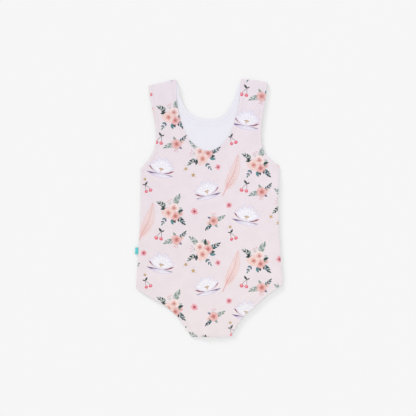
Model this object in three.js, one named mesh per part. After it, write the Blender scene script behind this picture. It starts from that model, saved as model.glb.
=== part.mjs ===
// A child's sleeveless leotard, laid flat on a table with its back panel uppermost.
// Millimetres: +X is to the right seen from above, +Y towards the shoulders, +Z up from the table.
// Three cloth layers lie on each other: the front panel face down, its white lining, and the back panel.
// The back is cut with the deeper scoop, so the lining shows between the two necklines.
import * as THREE from "three";
import { mergeVertices } from "three/addons/utils/BufferGeometryUtils.js";

// Walls and the clearance that separate pieces keep at seams and between layers.
const FRONT_WALL = 1.2;
const LINING_WALL = 1.0;
const BACK_WALL = 1.2;
const GAP = 0.3;

// How an edge is finished: the rounding of the cloth's edge, the roll of a seam down to the table, and
// the turned hem over its elastic at neck, armholes and legs.
const RIM = 0.8;
const SEAM_ROLL = 4.5;
const HEM_WIDTH = 7;
const HEM_FADE = 2;
const HEM_RAISE = 0.5;
const CHANNEL_RAISE = 0.4;
const CHANNEL_COVER = [14, 24];

// How far inside the back panel's edge the hidden layers end.
const FRONT_INSET = { side: 0, armhole: 1.5, leg: 3 };
const LINING_INSET = { side: 5.5, armhole: 2.2, leg: 3.7 };

// The sections that each panel is lofted through, from the shoulder seam to the crotch seam.
// left and right are the outer edge, back and front the inner edge of each panel as [left, right] points,
// and centre is where both halves of both panels meet. Points are [across, up] from the middle.
const SECTIONS = [
  { left: [-105.4, 213.0], right: [100.2, 219.5], back: [[-58.6, 224.2], [55.1, 225.2]], front: [[-58.2, 224.0], [54.7, 224.9]] },
  { left: [-102.0, 186.0], right: [95.8, 186.0], back: [[-56.7, 186.0], [51.6, 186.0]], front: [[-48.6, 186.0], [40.8, 186.0]] },
  { left: [-96.2, 157.0], right: [91.2, 157.0], back: [[-51.5, 157.0], [44.7, 157.0]], front: [[-29.5, 162.0], [24.0, 162.0]] },
  { left: [-92.6, 130.0], right: [88.8, 130.0], back: [[-41.0, 129.0], [35.3, 129.0]], front: [[-3.0, 154.9], [-3.0, 154.9]] },
  { left: [-94.3, 108.0], right: [91.0, 108.0], back: [[-23.5, 108.3], [18.0, 108.3]], front: [[-2.5, 129.0], [-2.5, 129.0]] },
  { left: [-102.5, 88.5], right: [100.5, 89.5], centre: [-2.0, 100.0] },
  { left: [-120.2, 67.7], right: [120.9, 73.4], centre: [-1.5, 79.0] },
  { left: [-119.8, 20.0], right: [119.0, 20.0], centre: [-1.0, 20.0] },
  { left: [-121.4, -28.6], right: [119.7, -28.6], centre: [-0.5, -28.0] },
  { left: [-124.8, -88.0], right: [123.2, -86.0], centre: [0.0, -80.0] },
  { left: [-128.0, -138.5], right: [126.7, -132.0], centre: [0.4, -122.0] },
  { left: [-103.0, -154.3], right: [101.3, -149.3], centre: [0.8, -143.0] },
  { left: [-77.6, -168.5], right: [80.2, -168.3], centre: [1.2, -165.0] },
  { left: [-56.0, -188.2], right: [58.3, -187.8], centre: [1.6, -187.0] },
  { left: [-41.0, -208.5], right: [43.8, -208.5], centre: [2.0, -207.0] },
  { left: [-32.5, -223.0], right: [36.9, -223.0], centre: [2.2, -223.0] },
];
const UNDERARM = 6;
const HIP = 10;
const CROTCH = SECTIONS.length - 1;
const BACK_NECK = 5;
const FRONT_NECK = 3;
const STEPS_PER_SECTION = 3;

// In shares of a section: the short steps that round and roll the cloth's two ends, and where an inset
// goes over from one kind of edge to the next.
const END_STEPS = { shoulder: [0.03, 0.18], crotch: [0.3, 0.055] };
const TURN = { start: 0.8, end: 0.4 };

// Soft folds of the back panel, as ridges or, with a negative height, troughs from one point to another.
const FOLDS = [
  { from: [-104, 62], to: [-38, 30], height: -0.7, spread: 9 },
  { from: [104, 66], to: [46, 24], height: -0.6, spread: 8 },
  { from: [-88, 96], to: [-62, 58], height: 0.7, spread: 8 },
  { from: [86, 96], to: [70, 52], height: 0.6, spread: 9 },
  { from: [-104, -70], to: [-20, -54], height: 0.6, spread: 13 },
  { from: [26, -84], to: [106, -104], height: 0.7, spread: 12 },
  { from: [-98, -128], to: [-34, -158], height: 0.7, spread: 9 },
  { from: [98, -126], to: [38, -164], height: -0.6, spread: 9 },
  { from: [-8, 60], to: [4, -40], height: 0.5, spread: 26 },
];
const BODY_LIFT = 1.0;
const LIFT_FADE = 34;

// A folded label let into the left side seam.
const LABEL = { up: -73, reach: 5.8, height: 12.4, ply: 1.0 };

// The label stands proud of the left side and the straps reach a little further up than the crotch does
// down, so the middle of the garment lies right of the origin and below it.
const MIDDLE = [1.5, -0.8];

const COLOURS = { print: 0xebe1e6, lining: 0xecebf4, label: 0x4cc4c4 };

const smoothstep = THREE.MathUtils.smoothstep;
const lerp = THREE.MathUtils.lerp;

// An outer edge through one column of the table, smooth between the corners of the outline.
function outerEdge(side) {
  const corners = [0, UNDERARM, HIP, CROTCH];
  const parts = corners.slice(1).map((end, i) => {
    const keys = SECTIONS.slice(corners[i], end + 1).map((row) => new THREE.Vector2(...row[side]));
    return { start: corners[i], end, curve: new THREE.SplineCurve(keys) };
  });
  return (s) => {
    const part = parts.find(({ end }) => s <= end) ?? parts.at(-1);
    return part.curve.getPoint((s - part.start) / (part.end - part.start));
  };
}

// The inner edges of a panel's two halves: the neckline is one smooth curve from shoulder to shoulder,
// and below it both halves end at the same middle line.
function innerEdges(panel, neck) {
  const keys = SECTIONS.slice(0, neck + 1).map((row) => row[panel] ?? [row.centre, row.centre]);
  const [left, right] = [0, 1].map((side) => keys.map((key) => new THREE.Vector2(...key[side])));
  const neckline = new THREE.SplineCurve([...left, ...right.reverse().slice(1)]);
  const below = SECTIONS.slice(neck).map((row) => new THREE.Vector2(...(row.centre ?? row[panel][0])));
  const middle = new THREE.SplineCurve(below);
  return [0, 1].map((side) => (s) => {
    if (s >= neck) return middle.getPoint((s - neck) / (CROTCH - neck));
    const along = s / (2 * neck);
    return neckline.getPoint(side === 0 ? along : 1 - along);
  });
}

const OUTER = [outerEdge("left"), outerEdge("right")];
const BACK_INNER = innerEdges("back", BACK_NECK);
const FRONT_INNER = innerEdges("front", FRONT_NECK);

// An edge as a line of points, to measure how far a place on the cloth lies from it.
function line(at, from, to) {
  const count = Math.round((to - from) * 6);
  return Array.from({ length: count + 1 }, (_, i) => at(lerp(from, to, i / count)));
}

function distanceTo(lines, p) {
  let least = Infinity;
  for (const points of lines)
    for (let i = 1; i < points.length; i++) {
      const along = points[i].clone().sub(points[i - 1]);
      const t = p.clone().sub(points[i - 1]).dot(along) / along.lengthSq();
      const nearest = points[i - 1].clone().addScaledVector(along, THREE.MathUtils.clamp(t, 0, 1));
      least = Math.min(least, nearest.distanceTo(p));
    }
  return least;
}

const SEWN = OUTER.flatMap((at, side) => [
  line(at, UNDERARM, HIP),
  [at(0), BACK_INNER[side](0)],
  [at(CROTCH), BACK_INNER[side](CROTCH)],
]);
const BACK_HEMS = [
  ...OUTER.flatMap((at) => [line(at, 0, UNDERARM), line(at, HIP, CROTCH)]),
  ...BACK_INNER.map((at) => line(at, 0, BACK_NECK)),
];
const FRONT_NECKLINE = FRONT_INNER.map((at) => line(at, 0, FRONT_NECK));

// A share of a height that is whole up to one distance from an edge and gone at another.
const fade = (distance, whole, gone) => 1 - smoothstep(distance, whole, gone);
const hem = (distance) => fade(distance, HEM_WIDTH, HEM_WIDTH + HEM_FADE);

// The height that the folds and the air under the cloth give the back panel.
function lift(p) {
  const inside = smoothstep(distanceTo([...SEWN, ...BACK_HEMS], p), 0, LIFT_FADE);
  const folds = FOLDS.reduce((sum, fold) => {
    const away = distanceTo([[new THREE.Vector2(...fold.from), new THREE.Vector2(...fold.to)]], p);
    return sum + fold.height * Math.exp(-((away / fold.spread) ** 2));
  }, 0);
  return inside * (BODY_LIFT + folds);
}

// Each layer gives the height of its underside and its top at a point.
const frontHeights = () => [0, FRONT_WALL];
const LINING_UNDER = FRONT_WALL + GAP;

function liningHeights(p) {
  const channel = CHANNEL_RAISE * hem(distanceTo(FRONT_NECKLINE, p));
  return [LINING_UNDER, LINING_UNDER + LINING_WALL + channel];
}

// The back panel lies over the lining and its neck channel, and rolls down at the seams to meet the front.
function backHeights(p) {
  const overChannel = CHANNEL_RAISE * fade(distanceTo(FRONT_NECKLINE, p), ...CHANNEL_COVER);
  const onLining = LINING_UNDER + LINING_WALL + overChannel + GAP;
  const rolled = smoothstep(distanceTo(SEWN, p), 0, SEAM_ROLL);
  const under = lerp(FRONT_WALL + GAP, onLining, rolled) + lift(p);
  return [under, under + BACK_WALL + HEM_RAISE * hem(distanceTo(BACK_HEMS, p))];
}

// How far inside the back panel's outer edge a layer ends at section s. Near the underarm and the hip
// the inset goes over from that of the open edge to that of the side seam.
function insetAt(inset, s) {
  const upper = s < UNDERARM + 1;
  const open = upper ? inset.armhole : inset.leg;
  const beyond = upper ? UNDERARM - s : s - HIP;
  return lerp(open, inset.side, 1 - smoothstep(beyond, TURN.end, TURN.start));
}

// The places of one section's points, from 0 at the outer edge to its length at the inner edge.
function columnsOf(length, plain, necked) {
  const outer = [0, RIM, SEAM_ROLL, HEM_WIDTH + HEM_FADE];
  const inner = [HEM_WIDTH + HEM_FADE, RIM, 0].map((d) => length - d);
  const first = outer.at(-1);
  const spread = (count, end) => Array.from({ length: count }, (_, i) => lerp(first, end, (i + 1) / count));
  const withHem = [...outer, ...spread(plain + 1, inner[0]), ...inner.slice(1)];
  const even = [...outer, ...spread(plain + 3, length)];
  return withHem.map((d, i) => lerp(even[i], d, necked));
}

// One layer of cloth as a closed wall: a top and an underside that meet in the edge all round.
function cloth({ inner, neck, inset, heights, plain, from = 0, to = CROTCH }) {
  const steps = Array.from({ length: CROTCH * STEPS_PER_SECTION }, (_, i) => i / STEPS_PER_SECTION);
  const first = [from, ...END_STEPS.shoulder.map((step) => from + step)];
  const last = [...END_STEPS.crotch.map((step) => to - step), to];
  const stations = [...first, ...steps.filter((s) => s > first.at(-1) && s < last[0]), ...last];

  const halves = [0, 1].map((side) =>
    stations.map((s, row) => {
      const start = OUTER[side](s);
      const end = inner[side](s);
      const across = end.clone().sub(start);
      const length = across.length();
      across.normalize();
      const inwards = insetAt(inset, s);
      const necked = 1 - smoothstep(s, neck, neck + 1);
      return columnsOf(length - inwards, plain, necked).map((d, column, all) => {
        const p = start.clone().addScaledVector(across, inwards + d);
        const [under, top] = heights(p);
        const atEdge = column === 0 || (column === all.length - 1 && s <= neck);
        const middle = (under + top) / 2;
        return row === 0 || row === stations.length - 1 || atEdge
          ? { p, under: middle, top: middle }
          : { p, under, top };
      });
    }),
  );

  const corners = [];
  const triangle = (level, ...points) => points.forEach(({ p, [level]: z }) => corners.push(p.x, p.y, z));
  halves.forEach((rows, side) => {
    for (let i = 1; i < rows.length; i++)
      for (let j = 1; j < rows[i].length; j++) {
        const [a, b, c, d] = [rows[i - 1][j - 1], rows[i - 1][j], rows[i][j], rows[i][j - 1]];
        const [facing, turned] = side === 0 ? ["top", "under"] : ["under", "top"];
        triangle(facing, a, d, c);
        triangle(facing, a, c, b);
        triangle(turned, a, c, d);
        triangle(turned, a, b, c);
      }
  });
  const loose = new THREE.BufferGeometry();
  loose.setAttribute("position", new THREE.Float32BufferAttribute(corners, 3));
  const geometry = mergeVertices(loose, 1e-3);
  geometry.computeVertexNormals();
  return geometry;
}

// The label's ribbon, folded at its outer end, as an outline seen along the seam.
function labelLoop() {
  const { reach, height, ply } = LABEL;
  const round = ply + GAP / 2;
  const outline = new THREE.Shape();
  outline.moveTo(0, 0);
  outline.lineTo(-(reach - round), 0);
  outline.absarc(-(reach - round), round, round, -Math.PI / 2, Math.PI / 2, true);
  outline.lineTo(0, 2 * round);
  outline.lineTo(0, round + GAP / 2);
  outline.lineTo(-(reach - round), round + GAP / 2);
  outline.absarc(-(reach - round), round, GAP / 2, Math.PI / 2, -Math.PI / 2, false);
  outline.lineTo(0, round - GAP / 2);
  outline.closePath();
  return new THREE.ExtrudeGeometry(outline, { depth: height, bevelEnabled: false, curveSegments: 8 });
}

const finish = (color, roughness) => new THREE.MeshStandardMaterial({ color, roughness, metalness: 0 });

function piece(name, geometry, material) {
  const mesh = new THREE.Mesh(geometry, material);
  mesh.name = name;
  return mesh;
}

const leotard = new THREE.Group();
leotard.position.set(...MIDDLE, 0);

leotard.add(
  piece(
    "front_panel",
    cloth({ inner: FRONT_INNER, neck: FRONT_NECK, inset: FRONT_INSET, heights: frontHeights, plain: 1 }),
    finish(COLOURS.print, 0.75),
  ),
  piece(
    "front_lining",
    cloth({
      inner: FRONT_INNER,
      neck: FRONT_NECK,
      inset: LINING_INSET,
      heights: liningHeights,
      plain: 1,
      from: 0.25,
      to: CROTCH - 0.4,
    }),
    finish(COLOURS.lining, 0.8),
  ),
  piece(
    "back_panel",
    cloth({
      inner: BACK_INNER,
      neck: BACK_NECK,
      inset: { side: 0, armhole: 0, leg: 0 },
      heights: backHeights,
      plain: 4,
    }),
    finish(COLOURS.print, 0.75),
  ),
);

// The label stands out from the side seam, square to it.
const seamAt = (up) => {
  const rows = [HIP - 2, HIP - 1];
  const s = THREE.MathUtils.mapLinear(up, ...rows.map((row) => SECTIONS[row].left[1]), ...rows);
  return OUTER[0](s);
};
const label = piece("side_label", labelLoop(), finish(COLOURS.label, 0.6));
label.rotation.x = Math.PI / 2;
label.position.set(-GAP, LABEL.height / 2, 0);

const foot = seamAt(LABEL.up);
const along = seamAt(LABEL.up + LABEL.height).sub(foot);
const tab = new THREE.Group();
tab.position.set(foot.x, foot.y, 0);
tab.rotation.z = -Math.atan2(along.x, along.y);
tab.add(label);
leotard.add(tab);

export default leotard;
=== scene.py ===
"""A child's tank leotard laid flat, back panel up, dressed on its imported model.

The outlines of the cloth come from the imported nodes. On them this script lays the printed jersey, the
white lining that shows in the neck, the folded side label and the hem stitching. Lengths are in metres,
and sizes that a maker would give in millimetres are written as a number times MM.
"""

import logging
import math
import random
from collections.abc import Callable, Collection, Iterable, Sequence
from dataclasses import dataclass, field, replace
from enum import Enum
from typing import Any

import bpy
import numpy as np
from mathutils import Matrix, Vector, kdtree
from mathutils.geometry import delaunay_2d_cdt


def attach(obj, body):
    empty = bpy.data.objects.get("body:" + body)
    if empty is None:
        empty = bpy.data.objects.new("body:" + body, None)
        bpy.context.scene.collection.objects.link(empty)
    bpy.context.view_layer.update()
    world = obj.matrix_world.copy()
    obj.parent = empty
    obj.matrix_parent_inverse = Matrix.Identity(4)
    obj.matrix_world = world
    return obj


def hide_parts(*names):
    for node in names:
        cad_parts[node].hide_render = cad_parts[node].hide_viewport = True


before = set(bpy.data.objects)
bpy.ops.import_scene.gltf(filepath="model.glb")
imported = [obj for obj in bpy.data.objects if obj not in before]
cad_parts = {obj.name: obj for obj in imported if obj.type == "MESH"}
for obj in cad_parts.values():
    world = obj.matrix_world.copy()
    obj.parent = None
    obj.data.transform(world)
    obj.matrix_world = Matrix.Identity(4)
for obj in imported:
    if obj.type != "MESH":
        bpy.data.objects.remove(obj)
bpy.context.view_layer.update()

MM = 0.001
SEED = 11
LOG = logging.getLogger("leotard")

# A length far below any in the garment, for a divisor that must not be 0
TINY = 1e-9

Plane = np.ndarray
"""Points or outlines in the cloth's plane, one row for each point."""


def linear(red: int, green: int, blue: int) -> tuple[float, float, float]:
    """Turns a colour as it shows on a screen, from 0 to 255, into the renderer's linear values.

    Args:
        red: The red part.
        green: The green part.
        blue: The blue part.

    Returns:
        The three linear values, from 0 to 1.
    """
    shares = [part / 255 for part in (red, green, blue)]
    r, g, b = (s / 12.92 if s <= 0.04045 else ((s + 0.055) / 1.055) ** 2.4 for s in shares)
    return r, g, b


def smooth_step(x: np.ndarray, start: float, end: float) -> np.ndarray:
    """Goes smoothly from 0 at start to 1 at end."""
    t = np.clip((x - start) / (end - start), 0.0, 1.0)
    return t * t * (3 - 2 * t)


def mix(a: np.ndarray, b: np.ndarray, share: np.ndarray | float) -> np.ndarray:
    """Goes from a, at share 0, to b, at share 1."""
    return a + (b - a) * share


def leftwards(points: Plane, is_ring: bool = False) -> Plane:
    """Unit vectors to the left of a line's direction, one at each of its points.

    Args:
        points: The line's points.
        is_ring: Whether its last point goes on to its first.

    Returns:
        The vectors.
    """
    if is_ring:
        ahead = np.roll(points, -1, axis=0) - np.roll(points, 1, axis=0)
    else:
        ahead = np.gradient(points, axis=0)
    ahead /= np.maximum(np.linalg.norm(ahead, axis=1), TINY)[:, None]
    return np.stack([-ahead[:, 1], ahead[:, 0]], 1)


def border(pairs: Collection[tuple[int, int]]) -> list[int]:
    """The loop of the directed edges whose reverse is not among them.

    Args:
        pairs: The directed edges of some faces, as indices of points.

    Returns:
        The loop's points, in order.
    """
    after = {a: b for a, b in pairs if (b, a) not in pairs}
    loop = [next(iter(after))]
    while after[loop[-1]] != loop[0]:
        loop.append(after[loop[-1]])
    return loop


class Waves:
    """A smooth irregular field between about -1 and 1: a few plane waves in seeded directions."""

    # What the scaled sum of waves rarely passes
    PEAK = 1.3

    def __init__(self, length: float, seed: int, count: int = 7) -> None:
        """Chooses the waves.

        Args:
            length: The mean wavelength.
            seed: The seed of the directions, lengths and phases.
            count: How many waves are summed.
        """
        rng = np.random.default_rng(seed)
        angles = rng.uniform(0, 2 * math.pi, count)
        lengths = length * rng.uniform(0.7, 1.5, count)
        self.vectors = 2 * math.pi / lengths[:, None] * np.stack([np.cos(angles), np.sin(angles)], 1)
        self.phases = rng.uniform(0, 2 * math.pi, count)

    def at(self, points: Plane) -> np.ndarray:
        """The field's value at each point."""
        total = np.sin(points @ self.vectors.T + self.phases).sum(-1)
        return total / math.sqrt(len(self.phases)) / self.PEAK


class Edge(Enum):
    """How a stretch of a panel's edge is finished."""

    ARMHOLE = "armhole"
    SIDE = "side seam"
    LEG = "leg"
    CROTCH = "crotch seam"
    SHOULDER = "shoulder seam"
    NECK = "neck"


ROUND_THE_PANEL = (
    Edge.ARMHOLE,
    Edge.SIDE,
    Edge.LEG,
    Edge.CROTCH,
    Edge.LEG,
    Edge.SIDE,
    Edge.ARMHOLE,
    Edge.SHOULDER,
    Edge.NECK,
    Edge.SHOULDER,
)
"""A panel's edges anticlockwise from the left shoulder's outer corner."""

HEMMED = (Edge.ARMHOLE, Edge.LEG, Edge.NECK)
"""The edges that are turned in and left open."""

SEWN = (Edge.SIDE, Edge.CROTCH, Edge.SHOULDER)
"""The edges that are sewn to the other panel."""


class Line:
    """A line of points in the cloth's plane, which tells how far other points are from it."""

    def __init__(self, points: Plane, is_ring: bool = False) -> None:
        """Keeps the points and a search tree of them.

        Args:
            points: The line's points, about evenly spaced.
            is_ring: Whether its last point goes on to its first.
        """
        self.points = points
        self.is_ring = is_ring
        self.tree = kdtree.KDTree(len(points))
        for index, (x, y) in enumerate(points):
            self.tree.insert((x, y, 0.0), index)
        self.tree.balance()

    def distance(self, points: Plane) -> np.ndarray:
        """How far each point is from the line."""
        nearest = np.array([self.tree.find((x, y, 0.0))[1] for x, y in points])
        best = np.full(len(points), np.inf)
        count = len(self.points)
        for shift in (-1, 0):
            first = nearest + shift
            first = first % count if self.is_ring else np.clip(first, 0, count - 2)
            start, step = self.points[first], self.points[(first + 1) % count] - self.points[first]
            share = ((points - start) * step).sum(1) / np.maximum((step * step).sum(1), TINY**2)
            share = np.clip(share, 0.0, 1.0)
            apart = np.linalg.norm(points - start - step * share[:, None], axis=1)
            best = np.minimum(best, apart)
        return best

    def moved_left(self, distance: float) -> Plane:
        """The line's points moved to the left of its direction."""
        return self.points + distance * leftwards(self.points)


class Outline:
    """The edge of a packed cloth node seen from above, anticlockwise and smooth between its corners."""

    STEP = 2.0 * MM
    CORNER = math.radians(28)
    CORNER_APART = 4 * MM
    WELD = 0.01 * MM
    PLACES_A_SPAN = 12

    def __init__(self, node: str) -> None:
        """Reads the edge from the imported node.

        Args:
            node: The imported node's name.
        """
        rim = self._rim(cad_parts[node].data)
        corners = self._corners(rim)
        start = corners[int(np.argmax([rim[c][1] - rim[c][0] for c in corners]))]
        rim = np.roll(rim, -start, axis=0)
        marks = [*sorted((c - start) % len(rim) for c in corners), len(rim)]
        closed = np.concatenate([rim, rim[:1]])
        self.stretches = [
            self._smoothed(closed[first : last + 1]) for first, last in zip(marks[:-1], marks[1:])
        ]
        self.points = np.concatenate([stretch[:-1] for stretch in self.stretches])

    def _rim(self, mesh: bpy.types.Mesh) -> Plane:
        """The loop of places where the node's upper faces end.

        Args:
            mesh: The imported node's mesh.

        Returns:
            The loop's points, anticlockwise.
        """
        spots: dict[tuple[int, int, int], int] = {}
        places = []
        index = []
        for vertex in mesh.vertices:
            key = tuple(round(c / self.WELD) for c in vertex.co)
            if key not in spots:
                spots[key] = len(places)
                places.append((vertex.co.x, vertex.co.y))
            index.append(spots[key])
        pairs: dict[tuple[int, int], None] = {}
        for face in mesh.polygons:
            if face.normal.z > 0:
                ring = [index[v] for v in face.vertices]
                pairs.update(dict.fromkeys(zip(ring, [*ring[1:], ring[0]])))
        return np.array([places[i] for i in border(pairs)])

    def _corners(self, rim: Plane) -> list[int]:
        """The places in the loop where it turns sharply."""
        ahead = np.roll(rim, -1, axis=0) - rim
        behind = rim - np.roll(rim, 1, axis=0)
        turn = np.arctan2(
            behind[:, 0] * ahead[:, 1] - behind[:, 1] * ahead[:, 0], (behind * ahead).sum(1)
        )
        found: list[int] = []
        for i in np.flatnonzero(np.abs(turn) > self.CORNER):
            if found and np.linalg.norm(rim[i] - rim[found[-1]]) < self.CORNER_APART:
                found[-1] = max(found[-1], int(i), key=lambda k: abs(turn[k]))
            else:
                found.append(int(i))
        return found

    def _smoothed(self, points: Plane) -> Plane:
        """A stretch between two corners, with even steps along a smooth curve.

        Args:
            points: The stretch's own points.

        Returns:
            Its points on the curve, both ends included.
        """
        steps = np.sqrt(np.linalg.norm(np.diff(points, axis=0), axis=1))
        knots = np.concatenate([[0.0], np.cumsum(steps)])
        slopes = np.gradient(points, knots, axis=0) if len(points) > 2 else np.diff(points, axis=0)
        fine = []
        for i in range(len(points) - 1):
            span = knots[i + 1] - knots[i]
            t = np.linspace(0, 1, self.PLACES_A_SPAN, endpoint=False)[:, None]
            if len(points) > 2:
                start, end = slopes[i] * span, slopes[i + 1] * span
            else:
                start = end = points[1] - points[0]
            fine.append(
                (2 * t**3 - 3 * t**2 + 1) * points[i]
                + (t**3 - 2 * t**2 + t) * start
                + (3 * t**2 - 2 * t**3) * points[i + 1]
                + (t**3 - t**2) * end
            )
        curve = np.concatenate([*fine, points[-1:]])
        run = np.concatenate([[0.0], np.cumsum(np.linalg.norm(np.diff(curve, axis=0), axis=1))])
        count = max(2, round(run[-1] / self.STEP))
        places = np.linspace(0, run[-1], count + 1)
        return np.stack([np.interp(places, run, curve[:, axis]) for axis in (0, 1)], 1)

    def edges(self, *kinds: Edge) -> list[Line]:
        """The stretches of an outline with all ten named edges that are of the given kinds."""
        if len(self.stretches) != len(ROUND_THE_PANEL):
            raise ValueError(f"the outline has {len(self.stretches)} stretches")
        return [Line(s) for s, kind in zip(self.stretches, ROUND_THE_PANEL) if kind in kinds]

    def inset(self, distance: float) -> Plane:
        """The closed outline moved inwards."""
        return self.points + distance * leftwards(self.points, is_ring=True)


def closed(ring: Plane) -> Plane:
    """The ring with its first point again at its end."""
    return np.concatenate([ring, ring[:1]])


def inside(points: Plane, outline: Plane) -> np.ndarray:
    """Whether each point lies inside a closed outline."""
    x, y = points[:, None, 0], points[:, None, 1]
    start, end = outline[None], np.roll(outline, -1, axis=0)[None]
    crosses = (start[..., 1] > y) != (end[..., 1] > y)
    run, rise = end[..., 0] - start[..., 0], end[..., 1] - start[..., 1]
    at = start[..., 0] + (y - start[..., 1]) * run / np.where(rise == 0, 1, rise)
    return (crosses & (x < at)).sum(1) % 2 == 1


def depth_in(points: Plane, outline: Plane) -> np.ndarray:
    """How far inside a closed outline each point lies, less than 0 outside it."""
    start, end = outline[None], np.roll(outline, -1, axis=0)[None]
    step = end - start
    share = ((points[:, None] - start) * step).sum(-1) / np.maximum((step * step).sum(-1), TINY**2)
    nearest = start + step * np.clip(share, 0, 1)[..., None]
    apart = np.linalg.norm(points[:, None] - nearest, axis=-1).min(1)
    return np.where(inside(points, outline), apart, -apart)


@dataclass(frozen=True)
class Ink:
    """A wash of printed colour, as it shows on screen.

    Attributes:
        body: The colour of the wash.
        edge: The colour where it has pooled along its edge.
        heart: The colour that runs in from the mark's heart.
        cover: How far it covers what is under it.
    """

    body: tuple[int, int, int]
    edge: tuple[int, int, int]
    heart: tuple[int, int, int]
    cover: float = 1.0


PEACH = Ink((248, 227, 222), (237, 190, 181), (228, 150, 140), 0.9)
CORAL = Ink((243, 204, 200), (228, 160, 157), (200, 104, 106), 0.88)
BLUSH = Ink((251, 240, 238), (238, 202, 198), (228, 156, 152), 0.92)
POLLEN = Ink((194, 104, 98), (160, 74, 76), (226, 156, 120), 0.95)
SAGE = Ink((144, 170, 156), (102, 132, 120), (80, 112, 102), 0.92)
MIST = Ink((190, 202, 198), (150, 170, 166), (140, 160, 158), 0.85)
TEAL = Ink((88, 146, 150), (48, 104, 116), (38, 86, 102), 0.94)
FOREST = Ink((34, 66, 64), (16, 42, 44), (12, 32, 36), 0.97)
NAVY = Ink((66, 104, 146), (40, 72, 112), (34, 58, 98), 0.92)
TWIG = Ink((110, 122, 112), (90, 102, 94), (90, 102, 94), 0.85)
PINK = Ink((250, 196, 205), (238, 152, 168), (216, 66, 94), 0.9)
CHERRY = Ink((240, 116, 134), (208, 60, 86), (252, 200, 208), 0.94)
NIGHT = Ink((58, 36, 54), (36, 22, 38), (36, 22, 38), 0.95)
MILK = Ink((249, 248, 252), (228, 221, 236), (236, 228, 242), 0.96)
LILAC = Ink((242, 239, 248), (208, 197, 222), (216, 204, 228), 0.95)
MAUVE = Ink((134, 118, 162), (100, 84, 134), (100, 84, 134), 0.94)
MAROON = Ink((164, 62, 84), (122, 36, 60), (112, 30, 54), 0.95)
SHELL = Ink((246, 226, 224), (238, 200, 196), (240, 206, 202), 0.6)
QUILL = Ink((232, 164, 156), (218, 138, 130), (218, 138, 130), 0.72)
GOLD = Ink((206, 160, 92), (150, 102, 56), (238, 208, 140), 0.96)


@dataclass(frozen=True)
class Mark:
    """One touch of ink on the cloth.

    Attributes:
        outline: Its outline, closed.
        ink: Its colours.
        heart: The place that the heart's colour runs from.
        reach: How far that colour runs.
        soft: How far its edge bleeds.
    """

    # How wide the ink pools along an edge, how strongly, how strongly the heart's colour shows, and
    # how uneven the cover is
    POOL = 0.7 * MM
    POOLED = 0.75
    RUN_IN = 0.85
    UNEVEN = 0.1

    outline: Plane
    ink: Ink
    heart: np.ndarray
    reach: float
    soft: float

    def placed(self, at: Sequence[float], turn: float, size: float, flipped: bool = False) -> "Mark":
        """The same mark elsewhere.

        Args:
            at: Where its origin goes.
            turn: How far it is turned, in degrees, anticlockwise.
            size: How many times as large it gets.
            flipped: Whether it is mirrored left to right first.

        Returns:
            The moved mark.
        """
        cosine, sine = math.cos(math.radians(turn)), math.sin(math.radians(turn))
        matrix = size * np.array([[cosine, sine], [-sine, cosine]])
        if flipped:
            matrix = np.diag([-1.0, 1.0]) @ matrix
        shift = np.asarray(at, float)
        outline = self.outline @ matrix + shift
        return replace(
            self,
            outline=outline[::-1] if flipped else outline,
            heart=self.heart @ matrix + shift,
            reach=self.reach * size,
            soft=self.soft * size,
        )

    def halo(self) -> Plane:
        """The outline that its bleeding edge reaches."""
        return self.outline - self.soft * leftwards(self.outline, is_ring=True)

    def wash(self, points: Plane, mottle: np.ndarray) -> tuple[np.ndarray, np.ndarray]:
        """The colour and cover of the mark's ink.

        Args:
            points: Where on the cloth.
            mottle: The unevenness of the wash at those points, from -1 to 1.

        Returns:
            The linear colour and the cover at each point.
        """
        ink = self.ink
        depth = depth_in(points, self.outline)
        at_edge = np.exp(-np.maximum(depth, 0) / self.POOL)[:, None]
        near = np.exp(-((np.linalg.norm(points - self.heart, axis=1) / self.reach) ** 2))[:, None]
        body, edge, heart = (np.array(linear(*shown)) for shown in (ink.body, ink.edge, ink.heart))
        colour = mix(mix(body, edge, self.POOLED * at_edge), heart, self.RUN_IN * near)
        cover = ink.cover * (1 + self.UNEVEN * mottle)
        if self.soft > 0:
            cover = cover * np.clip(1 + depth / self.soft, 0, 1)
        return colour, np.clip(cover, 0, 1)[:, None]


class Motif(Enum):
    """What the print shows."""

    POSY = "three blossoms with leaves"
    SPRAY = "one blossom with buds and leaves"
    LILY = "a water lily on its leaf"
    FEATHER = "a loose feather"
    CHERRIES = "a pair of cherries"
    BLOSSOM = "a small pink blossom"
    STAR = "a small star"


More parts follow.
